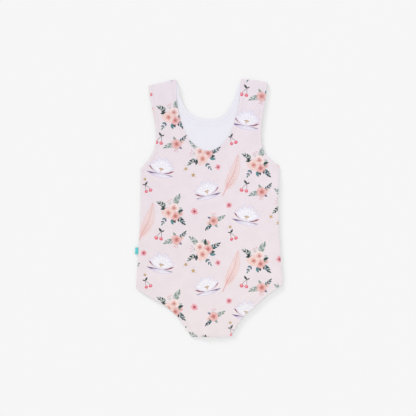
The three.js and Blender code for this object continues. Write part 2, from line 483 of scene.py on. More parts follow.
class Brush:
    """Draws the print's motifs, each round its own middle, with small seeded differences."""

    BLEED = 0.35 * MM

    def __init__(self, seed: int) -> None:
        """Starts with an empty drawing.

        Args:
            seed: The seed of the small differences.
        """
        self.rnd = random.Random(seed)
        self.marks: list[Mark] = []

    def draw(self, motif: Motif) -> list[Mark]:
        """Draws one motif.

        Args:
            motif: Which one.

        Returns:
            Its marks, in the order in which they are painted.
        """
        self.marks = []
        {
            Motif.POSY: self._posy,
            Motif.SPRAY: self._spray,
            Motif.LILY: self._lily,
            Motif.FEATHER: self._feather,
            Motif.CHERRIES: self._cherries,
            Motif.BLOSSOM: self._blossom,
            Motif.STAR: self._star,
        }[motif]()
        return self.marks

    def _vary(self, value: float, share: float = 0.12) -> float:
        """The value made larger or smaller by up to a share of itself."""
        return value * self.rnd.uniform(1 - share, 1 + share)

    def _add(
        self,
        outline: Plane,
        ink: Ink,
        at: Sequence[float] = (0, 0),
        turn: float = 0,
        heart: Sequence[float] = (0, 0),
        reach: float = 3,
        soft: float = BLEED,
    ) -> None:
        """Adds a mark drawn in millimetres round its own foot.

        Args:
            outline: The mark's outline, in millimetres.
            ink: Its colours.
            at: Where its foot goes, in millimetres.
            turn: How far it is turned, in degrees.
            heart: Where its heart is, in millimetres from its foot.
            reach: How far the heart's colour runs, in millimetres.
            soft: How far its edge bleeds, in metres.
        """
        mark = Mark(outline * MM, ink, np.array(heart) * MM, reach * MM, soft)
        self.marks.append(mark.placed(np.array(at) * MM, turn, 1))

    def _petal(
        self,
        ink: Ink,
        length: float,
        width: float,
        at: Sequence[float],
        turn: float,
        notch: float = 0.07,
    ) -> None:
        """Adds a round petal, narrow at its foot.

        Args:
            ink: Its colours.
            length: Its length, in millimetres.
            width: Its width, in millimetres.
            at: Where its foot is, in millimetres.
            turn: The way it points, in degrees.
            notch: How deep its tip is notched, as a share of its length.
        """
        angle = np.linspace(0, 2 * math.pi, 14, endpoint=False)
        away = np.minimum(angle, 2 * math.pi - angle)
        x = length * (0.5 + 0.5 * np.cos(angle) - notch * np.exp(-((away / 0.3) ** 2)))
        y = width / 2 * np.sin(angle) * (0.86 + 0.24 * np.cos(angle))
        self._add(np.stack([x, y], 1), ink, at, turn, reach=0.5 * length)

    def _leaf(
        self,
        ink: Ink,
        length: float,
        width: float,
        at: Sequence[float],
        turn: float,
        bend: float = 0.15,
    ) -> None:
        """Adds a pointed leaf.

        Args:
            ink: Its colours.
            length: Its length, in millimetres.
            width: Its width, in millimetres.
            at: Where its foot is, in millimetres.
            turn: The way it points, in degrees.
            bend: How far its tip bends to the left, as a share of its length.
        """
        t = np.linspace(0, 1, 7)
        spine = np.stack([length * t, bend * length * t * t], 1)
        half = width / 2 * np.sin(math.pi * t**0.85) ** 0.9
        aside = leftwards(spine) * half[:, None]
        outline = np.concatenate([spine - aside, (spine + aside)[-2:0:-1]])
        self._add(outline, ink, at, turn, reach=0.3 * length)

    def _stroke(
        self, ink: Ink, path: Sequence[Sequence[float]], width: float, tip: float = 0.3
    ) -> None:
        """Adds a thin brush line along a curve.

        Args:
            ink: Its colours.
            path: The start, the middle that it bends towards, and the end, in millimetres.
            width: Its width at the start, in millimetres.
            tip: Its width at the end, in millimetres.
        """
        start, middle, end = (np.array(p, float) for p in path)
        t = np.linspace(0, 1, 5)[:, None]
        line = (1 - t) ** 2 * start + 2 * t * (1 - t) * middle + t * t * end
        aside = leftwards(line) * mix(width, tip, t) / 2
        self._add(np.concatenate([line - aside, (line + aside)[::-1]]), ink, heart=start, soft=0)

    def _dot(
        self, ink: Ink, radius: float, at: Sequence[float], shine: Sequence[float] = (0, 0)
    ) -> None:
        """Adds a round spot.

        Args:
            ink: Its colours.
            radius: Its radius, in millimetres.
            at: Its middle, in millimetres.
            shine: Where its heart is, in millimetres from its middle.
        """
        count = max(6, min(16, round(5 * radius)))
        angle = np.linspace(0, 2 * math.pi, count, endpoint=False)
        wobble = 1 + 0.06 * np.sin(2 * angle + self.rnd.uniform(0, 6))
        ring = radius * wobble[:, None] * np.stack([np.cos(angle), np.sin(angle)], 1)
        soft = min(self.BLEED, 0.2 * radius * MM)
        self._add(ring, ink, at, heart=shine, reach=0.45 * radius, soft=soft)

    def _flower(self, ink: Ink, radius: float, at: Sequence[float], petals: int = 5) -> None:
        """Adds an open blossom with its stamens.

        Args:
            ink: The petals' colours.
            radius: Its radius, in millimetres.
            at: Its middle, in millimetres.
            petals: How many petals it has.
        """
        first = self.rnd.uniform(0, 360)
        for k in range(petals):
            turn = first + 360 * k / petals + self.rnd.uniform(-5, 5)
            width = 2.1 * radius * math.sin(math.pi / petals)
            self._petal(ink, self._vary(radius, 0.08), self._vary(width, 0.08), at, turn)
        for k in range(9):
            angle = math.radians(first + 40 * k + self.rnd.uniform(-12, 12))
            length = radius * self.rnd.uniform(0.28, 0.42)
            end = (at[0] + length * math.cos(angle), at[1] + length * math.sin(angle))
            middle = ((at[0] + end[0]) / 2, (at[1] + end[1]) / 2)
            self._stroke(POLLEN, (at, middle, end), 0.4)
            self._dot(POLLEN, 0.45, end)
        self._dot(POLLEN, 0.13 * radius, at, shine=(0.3, 0.3))

    def _bud(self, ink: Ink, length: float, at: Sequence[float], turn: float) -> None:
        """Adds a closed bud in its green cup, with the same arguments as a petal."""
        self._petal(ink, length, 0.55 * length, at, turn - 12, notch=0)
        self._petal(ink, length, 0.5 * length, at, turn + 12, notch=0)
        for side in (-22, 22):
            self._leaf(SAGE, 0.6 * length, 0.22 * length, at, turn + side)

    def _twig(
        self, inks: Sequence[Ink], length: float, at: Sequence[float], turn: float, pairs: int = 3
    ) -> None:
        """Adds a thin stalk with leaves on both sides and one at its tip.

        Args:
            inks: The leaves' colours, taken in turn.
            length: The stalk's length, in millimetres.
            at: Where it starts, in millimetres.
            turn: The way it points, in degrees.
            pairs: How many pairs of leaves it has.
        """
        angle = math.radians(turn)
        ahead = np.array([math.cos(angle), math.sin(angle)])
        aside = np.array([-ahead[1], ahead[0]])
        bend = self.rnd.choice((-1, 1)) * 0.14 * length
        start = np.array(at, float)
        middle = start + 0.5 * length * ahead + bend * aside
        end = start + length * ahead
        self._stroke(TWIG, (start, middle, end), 0.55, 0.35)
        leaf = self._vary(0.44 * length)
        for k in range(pairs):
            t = (k + 1) / (pairs + 0.6)
            foot = (1 - t) ** 2 * start + 2 * t * (1 - t) * middle + t * t * end
            size = leaf * (1.1 - 0.45 * t)
            for side in (-1, 1):
                ink = inks[(k + (side > 0)) % len(inks)]
                width = self._vary(0.46 * size)
                self._leaf(ink, size, width, foot, turn + side * self._vary(48), -0.2 * side)
        self._leaf(inks[0], 0.8 * leaf, 0.32 * leaf, end, turn)

    def _berries(self, ink: Ink, length: float, at: Sequence[float], turn: float) -> None:
        """Adds three small berries on forked stalks.

        Args:
            ink: The berries' colours.
            length: How far they stand out, in millimetres.
            at: Where the stalks start, in millimetres.
            turn: The way they point, in degrees.
        """
        for side in (-26, 0, 26):
            angle = math.radians(turn + side + self.rnd.uniform(-6, 6))
            far = self._vary(length)
            end = (at[0] + far * math.cos(angle), at[1] + far * math.sin(angle))
            bent = angle + 0.2
            middle = (at[0] + 0.5 * far * math.cos(bent), at[1] + 0.5 * far * math.sin(bent))
            self._stroke(TWIG, (at, middle, end), 0.4)
            self._dot(ink, self._vary(0.95), end, shine=(-0.3, 0.3))

    def _posy(self) -> None:
        """Draws three blossoms over sprays of leaves."""
        self._twig((FOREST, TEAL), 17, (8, 6), 38, 3)
        self._twig((SAGE, MIST), 18, (-9, 5), 146, 3)
        self._twig((TEAL, NAVY, SAGE), 15, (6, -8), -44, 2)
        self._twig((SAGE, FOREST), 16, (-8, -8), -132, 3)
        self._leaf(FOREST, 11, 5, (0, 9), 84, 0.2)
        self._leaf(MIST, 10, 4.6, (-3, 9), 108, -0.2)
        self._leaf(TEAL, 10, 5, (12, -2), -6, 0.2)
        self._leaf(FOREST, 9, 4.4, (11, 1), 22, -0.2)
        self._leaf(FOREST, 10, 4.6, (-7, -9), -104, 0.2)
        self._berries(CORAL, 9, (-12, -1), 186)
        self._bud(CORAL, 8, (3, 11), 66)
        self._bud(PEACH, 7, (-1, -11), -96)
        self._flower(BLUSH, 9.4, (-6.4, 4.4))
        self._flower(CORAL, 8.2, (7.6, 4.8))
        self._flower(PEACH, 9.8, (0.8, -6.2))

    def _spray(self) -> None:
        """Draws one blossom on a leafy bough."""
        self._twig((FOREST, TEAL), 15, (2, 3), 62, 3)
        self._twig((SAGE, MIST), 16, (-2, -2), 214, 3)
        self._leaf(NAVY, 8, 3.6, (4, -2), -28, 0.2)
        self._leaf(SAGE, 9, 4, (-3, 4), 128, 0.2)
        self._bud(PEACH, 7.5, (4, 5), 24)
        self._berries(PINK, 8, (2, -5), -84)
        self._flower(CORAL, 8.6, (0, 0))

    def _lily(self) -> None:
        """Draws a pale water lily on the still water under it."""
        self._leaf(MAUVE, 40, 3.4, (-21, -9), -9, 0.16)
        self._leaf(LILAC, 34, 5.5, (-15, -11.5), -3, 0.08)
        self._leaf(MAROON, 17, 2.6, (-4, -7), 164, -0.16)
        self._leaf(MAROON, 15, 2.4, (5, -7.5), 12, 0.18)
        outer = ((90, 23), (66, 22.5), (114, 22.5), (44, 22), (136, 22), (22, 22), (158, 22))
        for turn, length in outer:
            bend = 0.12 if turn < 90 else -0.12
            self._leaf(LILAC, self._vary(length, 0.05), 8.5, (0, -6), turn, bend)
        for turn, length in ((78, 18), (102, 18), (54, 18), (126, 18), (31, 18.5), (149, 18.5)):
            bend = 0.1 if turn < 90 else -0.1
            self._leaf(MILK, self._vary(length, 0.05), 8, (0, -6.5), turn, bend)
        for turn in (90, 62, 118, 36, 144):
            self._leaf(MILK, self._vary(12.5, 0.06), 6.2, (0, -7), turn, 0)
        for k in range(7):
            angle = math.radians(50 + 13 * k)
            end = (5.2 * math.cos(angle), -6 + 5.2 * math.sin(angle))
            self._stroke(GOLD, ((0, -6), (0, -3), end), 0.5)
            self._dot(GOLD, 0.6, end)

    def _feather(self) -> None:
        """Draws a loose pale feather, upright."""
        t = np.linspace(0, 1, 15)
        height, width = 72, 17
        spine = np.stack([7 * np.sin(2.4 * t) - 3, height * (t - 0.5)], 1)
        half = width / 2 * np.sin(math.pi * np.clip((t - 0.14) / 0.86, 0, 1) ** 0.75) ** 0.8 + 0.25
        body = np.concatenate([spine + half[:, None] * (1, 0), (spine - half[:, None] * (1, 0))[::-1]])
        self._add(body, SHELL, heart=(0, -0.2 * height), reach=14, soft=0.5 * MM)
        for k in range(17):
            share = 0.2 + 0.76 * k / 16
            x, y = (np.interp(share, t, spine[:, axis]) for axis in (0, 1))
            wide = float(np.interp(share, t, half))
            for side in (-1, 1):
                end = (x + side * self._vary(wide, 0.08), y + self._vary(8.5 - 4 * share))
                self._stroke(QUILL, ((x, y), (x + side * 0.5 * wide, y + 1.6), end), 0.75)
        self._stroke(QUILL, (spine[0], 0.5 * (spine[0] + spine[8]) - (1.5, 0), spine[8]), 1.3, 1.0)
        self._stroke(QUILL, (spine[8], spine[11], spine[-1]), 1.0)

    def _cherries(self) -> None:
        """Draws two cherries on thin dark stalks, with a leaf."""
        fork = (1.2, 10)
        self._leaf(FOREST, 8.5, 3.8, fork, 158, -0.2)
        self._leaf(NIGHT, 5.5, 2.2, fork, 32, 0.2)
        for at, radius in (((-4.4, -4.6), 3.5), ((4.8, -3.2), 3.2)):
            self._stroke(NIGHT, (fork, (0.6 * at[0], 4), (at[0], at[1] + radius - 0.6)), 0.9, 0.6)
            self._dot(CHERRY, radius, at, shine=(-0.3 * radius, 0.34 * radius))

    def _blossom(self) -> None:
        """Draws a small pink blossom with dark tips."""
        first = self.rnd.uniform(0, 90)
        for k in range(5):
            turn = first + 72 * k
            self._petal(PINK, self._vary(6.6), self._vary(5.4), (0, 0), turn)
        for k in range(5):
            angle = math.radians(first + 36 + 72 * k)
            end = (4.2 * math.cos(angle), 4.2 * math.sin(angle))
            self._stroke(NIGHT, ((0, 0), (0.5 * end[0], 0.5 * end[1]), end), 0.6)
        self._dot(MAROON, 1.1, (0, 0))

    def _star(self) -> None:
        """Draws a small gold star over a few dots."""
        angle = np.linspace(0, 2 * math.pi, 10, endpoint=False) + math.pi / 2
        radius = np.where(np.arange(10) % 2 == 0, 4.0, 1.7)
        self._add(np.stack([radius * np.cos(angle), radius * np.sin(angle)], 1), GOLD, reach=1.6)
        for x, y in ((-5.5, -2), (5.2, -3), (0.5, 6.4)):
            self._dot(CORAL, 0.7, (x, y))


@dataclass(frozen=True)
class Placing:
    """Where a motif stands in the print's repeat.

    Attributes:
        motif: Which one.
        at: Its middle, in millimetres from the repeat's lower left corner.
        turn: How far it is turned, in degrees, anticlockwise.
        size: How many times its drawn size it is.
        flipped: Whether it is mirrored.
    """

    motif: Motif
    at: tuple[float, float]
    turn: float = 0
    size: float = 1.0
    flipped: bool = False


@dataclass(frozen=True)
class FloralPrint:
    """A half-drop repeat of posies, water lilies, feathers and small fruit and flowers.

    Attributes:
        width: The repeat's width.
        height: The repeat's height.
        ground: The cloth's own colour.
        wrong_side: The colour of its unprinted side.
        placings: The motifs of one repeat.
    """

    width: float = 148 * MM
    height: float = 166 * MM
    ground: tuple[int, int, int] = (238, 227, 232)
    wrong_side: tuple[int, int, int] = (246, 241, 244)
    placings: tuple[Placing, ...] = (
        Placing(Motif.LILY, (101, 24), -12, 1.18),
        Placing(Motif.LILY, (31, 68), 15, 1.12, flipped=True),
        Placing(Motif.POSY, (25, 129), -14, 1.04),
        Placing(Motif.POSY, (119, 113), -82, 1.0),
        Placing(Motif.FEATHER, (73, 93), -17, 1.04),
        Placing(Motif.SPRAY, (127, 65), -20, 1.0),
        Placing(Motif.SPRAY, (43, 15), 168, 0.96),
        Placing(Motif.CHERRIES, (97, 71), -20, 0.92),
        Placing(Motif.CHERRIES, (77, 153), 26, 0.84, flipped=True),
        Placing(Motif.BLOSSOM, (10, 31), 0, 0.94),
        Placing(Motif.BLOSSOM, (51, 108), 0, 0.76),
        Placing(Motif.BLOSSOM, (70, 42), 0, 0.86),
        Placing(Motif.STAR, (8, 94)),
        Placing(Motif.STAR, (143, 22), 20, 0.9),
        Placing(Motif.STAR, (72, 4), -10, 0.8),
    )

    def marks_over(self, low: Plane, high: Plane, origin: Sequence[float]) -> list[Mark]:
        """Every mark of the print that may fall on a panel.

        Args:
            low: The panel's lower left corner.
            high: The panel's upper right corner.
            origin: Where one repeat's lower left corner falls on the cloth.

        Returns:
            The marks, in the order in which they are painted.
        """
        repeat = self._repeat()
        marks = []
        for column in range(*self._span(low[0], high[0], origin[0], self.width)):
            drop = origin[1] + (column % 2) * self.height / 2
            for row in range(*self._span(low[1], high[1], drop, self.height)):
                shift = np.array([origin[0] + column * self.width, drop + row * self.height])
                for mark in repeat:
                    outline = mark.outline + shift
                    if (outline.max(0) > low).all() and (outline.min(0) < high).all():
                        marks.append(replace(mark, outline=outline, heart=mark.heart + shift))
        return marks

    def _repeat(self) -> list[Mark]:
        """The marks of one repeat, measured from its lower left corner."""
        brush = Brush(SEED)
        return [
            mark.placed(np.array(placing.at) * MM, placing.turn, placing.size, placing.flipped)
            for placing in self.placings
            for mark in brush.draw(placing.motif)
        ]

    def _span(self, low: float, high: float, start: float, step: float) -> tuple[int, int]:
        """The first repeat, and one past the last, whose motifs may reach a stretch."""
        return math.floor((low - start) / step) - 1, math.ceil((high - start) / step) + 1


class Side(Enum):
    """One of a panel's two faces."""

    TOP = 1
    UNDER = -1


@dataclass
class Face:
    """One face of a panel as triangles in the cloth's plane.

    Attributes:
        points: Its points.
        triangles: Its triangles, anticlockwise from above, as indices of the points.
        covers: For each triangle, the marks that cover it.
    """

    JOINED = 0.001 * MM

    points: Plane
    triangles: np.ndarray
    covers: list[list[int]]

    @classmethod
    def cut(
        cls, outline: Plane, guides: Iterable[Plane], loose: Plane, marks: Sequence[Mark] = ()
    ) -> "Face":
        """Cuts the face into triangles along the outline, the guide lines and the marks.

        Args:
            outline: The face's closed outline, anticlockwise.
            guides: Lines that the triangles follow.
            loose: Further points.
            marks: The print's marks.

        Returns:
            The face.
        """
        rows: list[Plane] = [outline]
        faces = [list(range(len(outline)))]
        edges: list[tuple[int, int]] = []
        count = len(outline)
        for guide in guides:
            edges += [(count + i, count + i + 1) for i in range(len(guide) - 1)]
            rows.append(guide)
            count += len(guide)
        for mark in marks:
            rings = [(mark.halo(), True)]
            if mark.soft > 0:
                rings.append((mark.outline, False))
            for ring, is_face in rings:
                numbers = list(range(count, count + len(ring)))
                if is_face:
                    faces.append(numbers)
                else:
                    edges += list(zip(numbers, [*numbers[1:], numbers[0]]))
                rows.append(ring)
                count += len(ring)
        rows.append(loose)
        given = [Vector(p) for p in np.concatenate(rows)]
        points, _, triangles, _, _, origins = delaunay_2d_cdt(given, edges, faces, 0, cls.JOINED)
        kept = [i for i, owners in enumerate(origins) if 0 in owners]
        corners = np.array([triangles[i] for i in kept])
        covers = [sorted(o - 1 for o in origins[i] if o > 0) for i in kept]
        used, corners = np.unique(corners, return_inverse=True)
        places = np.array([points[i] for i in used])
        return cls(places, corners.reshape(-1, 3), covers)

    def rim(self) -> np.ndarray:
        """The indices of the points on the face's outline, in order."""
        pairs = np.concatenate([self.triangles[:, [a, (a + 1) % 3]] for a in range(3)])
        return np.array(border({tuple(pair) for pair in pairs.tolist()}))


@dataclass(frozen=True)
class Crease:
    """A soft ridge or, with a negative height, trough that lies across the cloth.

    Attributes:
        start: Where it starts, in millimetres from the garment's middle.
        end: Where it ends.
        height: Its height, in millimetres.
        spread: How far it reaches to each side, in millimetres.
    """

    start: tuple[float, float]
    end: tuple[float, float]
    height: float
    spread: float

    def at(self, points: Plane) -> np.ndarray:
        """The crease's height at each point, in metres."""
        start, end = np.array(self.start) * MM, np.array(self.end) * MM
        step = end - start
        share = np.clip(((points - start) @ step) / (step @ step), 0, 1)
        apart = np.linalg.norm(points - start - share[:, None] * step, axis=1)
        return self.height * MM * np.exp(-((apart / (self.spread * MM)) ** 2))


class Sock:
    """A shader value that Python's operators work on, adding the Math nodes that they need."""

    def __init__(self, shader: "Shader", socket: bpy.types.NodeSocket) -> None:
        """Wraps an output socket of a shader's tree."""
        self.shader = shader
        self.socket = socket

    def _math(self, operation: str, *values: Any) -> "Sock":
        """The result of a Math node on the given values."""
        node = self.shader.node("ShaderNodeMath", {"operation": operation}, dict(enumerate(values)))
        return Sock(self.shader, node.outputs[0])

    def __add__(self, other: Any) -> "Sock":
        """Self plus other."""
        return self._math("ADD", self, other)

    def __radd__(self, other: Any) -> "Sock":
        """Other plus self."""
        return self._math("ADD", other, self)

    def __sub__(self, other: Any) -> "Sock":
        """Self less other."""
        return self._math("SUBTRACT", self, other)

    def __rsub__(self, other: Any) -> "Sock":
        """Other less self."""
        return self._math("SUBTRACT", other, self)

    def __mul__(self, other: Any) -> "Sock":
        """Self times other."""
        return self._math("MULTIPLY", self, other)

    def __rmul__(self, other: Any) -> "Sock":
        """Other times self."""
        return self._math("MULTIPLY", other, self)

    def __truediv__(self, other: Any) -> "Sock":
        """Self over other."""
        return self._math("DIVIDE", self, other)

    def __rtruediv__(self, other: Any) -> "Sock":
        """Other over self."""
        return self._math("DIVIDE", other, self)

    def sine(self) -> "Sock":
        """The sine of a value in radians."""
        return self._math("SINE", self)

    def whole_part_off(self) -> "Sock":
        """What is left of a value above its whole part."""
        return self._math("FRACT", self)

    def size(self) -> "Sock":
        """The value without its sign."""
        return self._math("ABSOLUTE", self)

    def held(self) -> "Sock":
        """The value kept from 0 to 1."""
        return self._math("MINIMUM", self._math("MAXIMUM", self, 0.0), 1.0)


class Shader:
    """A material's node tree while it is built."""

    def __init__(self, name: str) -> None:
        """Starts a material with nothing but its output.

        Args:
            name: The material's name.
        """
        self.material = bpy.data.materials.new(name)
        self.material.use_nodes = True
        self.tree = self.material.node_tree
        self.tree.nodes.clear()
        self.output = self.tree.nodes.new("ShaderNodeOutputMaterial")

    def node(self, kind: str, settings: dict[str, Any], inputs: dict[Any, Any]) -> bpy.types.Node:
        """Adds a node.

        Args:
            kind: The node's type.
            settings: Its properties, which are set first.
            inputs: The values or links of its sockets, by name, identifier or number.

        Returns:
            The node.
        """
        node = self.tree.nodes.new(kind)
        for key, value in settings.items():
            setattr(node, key, value)
        by_identifier = {socket.identifier: socket for socket in node.inputs}
        for key, value in inputs.items():
            socket = by_identifier[key] if key in by_identifier else node.inputs[key]
            if isinstance(value, Sock):
                self.tree.links.new(value.socket, socket)
            else:
                socket.default_value = value
        return node

    def blend(self, share: Any, first: Any, second: Any, way: str = "MIX") -> Sock:
        """Mixes two colours.

        Args:
            share: How much of the second there is.
            first: A colour, or a socket of one.
            second: The same.
            way: How they mix.

        Returns:
            The mixed colour.
        """
        settings = {"data_type": "RGBA", "blend_type": way}
        values = {"Factor_Float": share, "A_Color": first, "B_Color": second}
        node = self.node("ShaderNodeMix", settings, values)
        return Sock(self, next(s for s in node.outputs if s.identifier == "Result_Color"))

    def place(self) -> tuple[Sock, Sock, Sock]:
        """The X, Y and Z of the piece's own coordinates."""
        coordinates = self.node("ShaderNodeTexCoord", {}, {})
        split = self.node("ShaderNodeSeparateXYZ", {}, {0: Sock(self, coordinates.outputs["Object"])})
        x, y, z = (Sock(self, output) for output in split.outputs)
        return x, y, z

    def noise(self, size: float, detail: float = 2.0) -> Sock:
        """A noise from 0 to 1 on the piece's own coordinates.

        Args:
            size: The size of its blots.
            detail: How many finer layers it has.

        Returns:
            The noise.
        """
        coordinates = self.node("ShaderNodeTexCoord", {}, {})
        place = Sock(self, coordinates.outputs["Object"])
        values = {"Vector": place, "Scale": 1 / size, "Detail": detail}
        node = self.node("ShaderNodeTexNoise", {}, values)
        return Sock(self, node.outputs[0])

    def surface(self, **inputs: Any) -> bpy.types.Material:
        """Ends the tree in a Principled shader.

        Args:
            **inputs: The shader's sockets, with underscores for the spaces in their names.

        Returns:
            The finished material.
        """
        values = {key.replace("_", " "): value for key, value in inputs.items()}
        node = self.node("ShaderNodeBsdfPrincipled", {}, values)
        self.tree.links.new(node.outputs[0], self.output.inputs[0])
        return self.material


COLOUR_ATTRIBUTE = "dye"


@dataclass(frozen=True)
class JerseyFinish:
    """Fine single jersey whose colour is in its dye attribute.

    Attributes:
        name: The material's name.
        wale: The distance between the knit's columns.
        course: The distance between its rows.
        slant: How many rows a loop's arms rise from its foot to its head.
        groove: How much of the relief is in the grooves between columns.
        painted_groove_shade: How much painted shade darkens the grooves between the columns.
        relief: How deep the knit's loops are.
        fuzz: The size of the blots in its nap.
        roughness: How matt it is.
        sheen: How much its nap lightens it at a glance.
        blot: The size of the blots that its tone wanders in.
        blotch: How much its tone wanders.
        painted_light_drift: How much lighter it is painted a metre further right and a metre further
            down, a painted gradient of light.
        painted_light_warmth: How much less blue it is painted a metre further down, part of the same
            painted light.
    """

    name: str
    wale: float = 0.62 * MM
    course: float = 0.5 * MM
    slant: float = 0.55
    groove: float = 0.65
    painted_groove_shade: float = 0.05
    relief: float = 0.05 * MM
    fuzz: float = 0.25 * MM
    roughness: float = 0.82
    sheen: float = 0.12
    blot: float = 18 * MM
    blotch: float = 0.05
    painted_light_drift: tuple[float, float] = (0.12, 0.06)
    painted_light_warmth: float = 0.12

    def material(self) -> bpy.types.Material:
        """Builds the material."""
        shader = Shader(self.name)
        x, y, _ = shader.place()
        across = x / self.wale
        arm = (across.whole_part_off() - 0.5).size() * 2.0
        loops = ((y / self.course + arm * self.slant) * (2 * math.pi)).sine()
        groove = 1.0 - (across.whole_part_off() * math.pi).sine()
        fuzz = shader.noise(self.fuzz, 3.0)
        height = loops * (1.0 - self.groove) - groove * self.groove + fuzz * 0.8
        dye = shader.node("ShaderNodeAttribute", {"attribute_name": COLOUR_ATTRIBUTE}, {})
        # The tone wanders at random, and the grooves between the knit's columns get painted shade.
        wander_and_groove_shade = shader.noise(self.blot) * (2 * self.blotch) - groove * self.painted_groove_shade
        # Painted light: the tone is made lighter to the right and further down, and less blue further
        # down.
        tone = wander_and_groove_shade + x * self.painted_light_drift[0] - y * self.painted_light_drift[1] + (1.0 - self.blotch)
        tones = {0: tone, 1: tone, 2: tone + y * self.painted_light_warmth}
        tint = Sock(shader, shader.node("ShaderNodeCombineColor", {}, tones).outputs[0])
        colour = shader.blend(1.0, Sock(shader, dye.outputs["Color"]), tint, "MULTIPLY")
        shape = {"Strength": 0.6, "Distance": self.relief, "Height": height}
        bump = shader.node("ShaderNodeBump", {}, shape)
        return shader.surface(
            Base_Color=colour,
            Roughness=(self.roughness - 0.06) + fuzz * 0.12,
            Sheen_Weight=self.sheen,
            Sheen_Roughness=0.5,
            Specular_IOR_Level=0.25,
            Normal=Sock(shader, bump.outputs[0]),
        )


@dataclass(frozen=True)
class RibbonFinish:
    """Woven satin ribbon.

    Attributes:
        name: The material's name.
        colour: Its colour on screen.
        shade: The painted shade between the threads, darker than its colour.
        thread: The distance between its threads.
        relief: How deep the grooves between them are.
    """

    name: str
    colour: tuple[int, int, int] = (108, 220, 219)
    shade: tuple[int, int, int] = (72, 188, 191)
    thread: float = 0.35 * MM
    relief: float = 0.05 * MM

    def material(self) -> bpy.types.Material:
        """Builds the material."""
        shader = Shader(self.name)
        x, y, _ = shader.place()
        weft = ((y / self.thread) * (2 * math.pi)).sine() * 0.5 + 0.5
        float_over = ((x / self.thread + y / (2 * self.thread)) * (2 * math.pi)).sine() * 0.5 + 0.5
        height = weft * 0.7 + float_over * 0.3
        wear = shader.noise(1.5 * MM)
        # Painted shade: the ribbon is darker between its threads, where the relief is low.
        lit = (height * 0.7 + wear * 0.3).held()
        colour = shader.blend(lit, (*linear(*self.shade), 1), (*linear(*self.colour), 1))
        shape = {"Strength": 0.5, "Distance": self.relief, "Height": height}
        bump = shader.node("ShaderNodeBump", {}, shape)
        return shader.surface(
            Base_Color=colour,
            Roughness=0.35 + wear * 0.15,
            Sheen_Weight=0.1,
            Specular_IOR_Level=0.4,
            Normal=Sock(shader, bump.outputs[0]),
        )


@dataclass(frozen=True)
class ThreadFinish:
    """Spun sewing thread.

    Attributes:
        name: The material's name.
        colour: Its colour on screen.
        shade: The painted shade in the twist's grooves, darker than its colour.
        twist: The distance between those grooves, measured along X and Y together.
        relief: How deep they are.
    """

    name: str
    colour: tuple[int, int, int]
    shade: tuple[int, int, int]
    twist: float = 0.22 * MM
    relief: float = 0.03 * MM

    def material(self) -> bpy.types.Material:
        """Builds the material."""
        shader = Shader(self.name)
        x, y, _ = shader.place()
        twist = (((x + y) / self.twist) * (2 * math.pi)).sine() * 0.5 + 0.5
        # Painted shade: the thread is darker in its twist's grooves.
        colour = shader.blend(twist, (*linear(*self.shade), 1), (*linear(*self.colour), 1))
        shape = {"Strength": 0.4, "Distance": self.relief, "Height": twist}
        bump = shader.node("ShaderNodeBump", {}, shape)
        return shader.surface(
            Base_Color=colour,
            Roughness=0.55 + twist * 0.1,
            Specular_IOR_Level=0.3,
            Normal=Sock(shader, bump.outputs[0]),
        )


@dataclass(frozen=True)
class TableFinish:
    """A pale matt table top.

    Attributes:
        name: The material's name.
        colour: Its colour on screen.
        grain: The size of the blots in it.
        dull: How bright they are, as a share of the rest.
    """

    name: str
    colour: tuple[int, int, int] = (246, 246, 246)
    grain: float = 60 * MM
    dull: float = 0.996

    def material(self) -> bpy.types.Material:
        """Builds the material."""
        shader = Shader(self.name)
        grain = shader.noise(self.grain)
        low, high = (tuple(c * share for c in linear(*self.colour)) for share in (self.dull, 1.0))
        colour = shader.blend(grain, (*low, 1), (*high, 1))
        return shader.surface(Base_Color=colour, Roughness=0.95, Specular_IOR_Level=0.0)


@dataclass(frozen=True)
class Wardrobe:
    """The finishes, built once.

    Attributes:
        printed: The printed jersey.
        lining: The white lining jersey.
        ribbon: The label's ribbon.
        pink_thread: The hems' thread.
        white_thread: The lining's thread.
    """

    printed: bpy.types.Material
    lining: bpy.types.Material
    ribbon: bpy.types.Material
    pink_thread: bpy.types.Material
    white_thread: bpy.types.Material

    @classmethod
    def stocked(cls) -> "Wardrobe":
        """Builds every finish."""
        return cls(
            printed=JerseyFinish("printed_jersey").material(),
            lining=JerseyFinish(
                "lining_jersey",
                relief=0.04 * MM,
                sheen=0.08,
                blotch=0.02,
                painted_light_drift=(0.0, 0.0),
                painted_light_warmth=0.0,
            ).material(),
            ribbon=RibbonFinish("label_ribbon").material(),
            pink_thread=ThreadFinish("pink_thread", (240, 228, 233), (224, 208, 215)).material(),
            white_thread=ThreadFinish("white_thread", (240, 239, 246), (222, 221, 232)).material(),
        )


def piece_from(name: str, places: np.ndarray, faces: Sequence[Sequence[int]]) -> bpy.types.Object:
    """Makes a smooth-shaded mesh object at the origin.

    Args:
        name: The piece's name.
        places: Its vertices.
        faces: Its faces, as indices of the vertices.

    Returns:
        The object, in the scene.
    """
    mesh = bpy.data.meshes.new(name)
    mesh.from_pydata([tuple(p) for p in places], [], faces)
    mesh.validate()
    mesh.shade_smooth()
    piece = bpy.data.objects.new(name, mesh)
    bpy.context.scene.collection.objects.link(piece)
    return piece


def nearest(lines: Iterable[Line], points: Plane) -> np.ndarray:
    """How far each point is from the nearest of several lines."""
    return np.min([line.distance(points) for line in lines], axis=0)


def runs_inside(line: Plane, outline: Plane, depth: float) -> list[Plane]:
    """The runs of a line that lie more than a depth inside a closed outline.

    Args:
        line: The line's points.
        outline: The outline.
        depth: The depth.

    Returns:
        Each run of three points or more.
    """
    runs: list[list[np.ndarray]] = [[]]
    for point, kept in zip(line, depth_in(line, outline) > depth):
        if kept:
            runs[-1].append(point)
        elif runs[-1]:
            runs.append([])
    return [np.array(run) for run in runs if len(run) > 2]


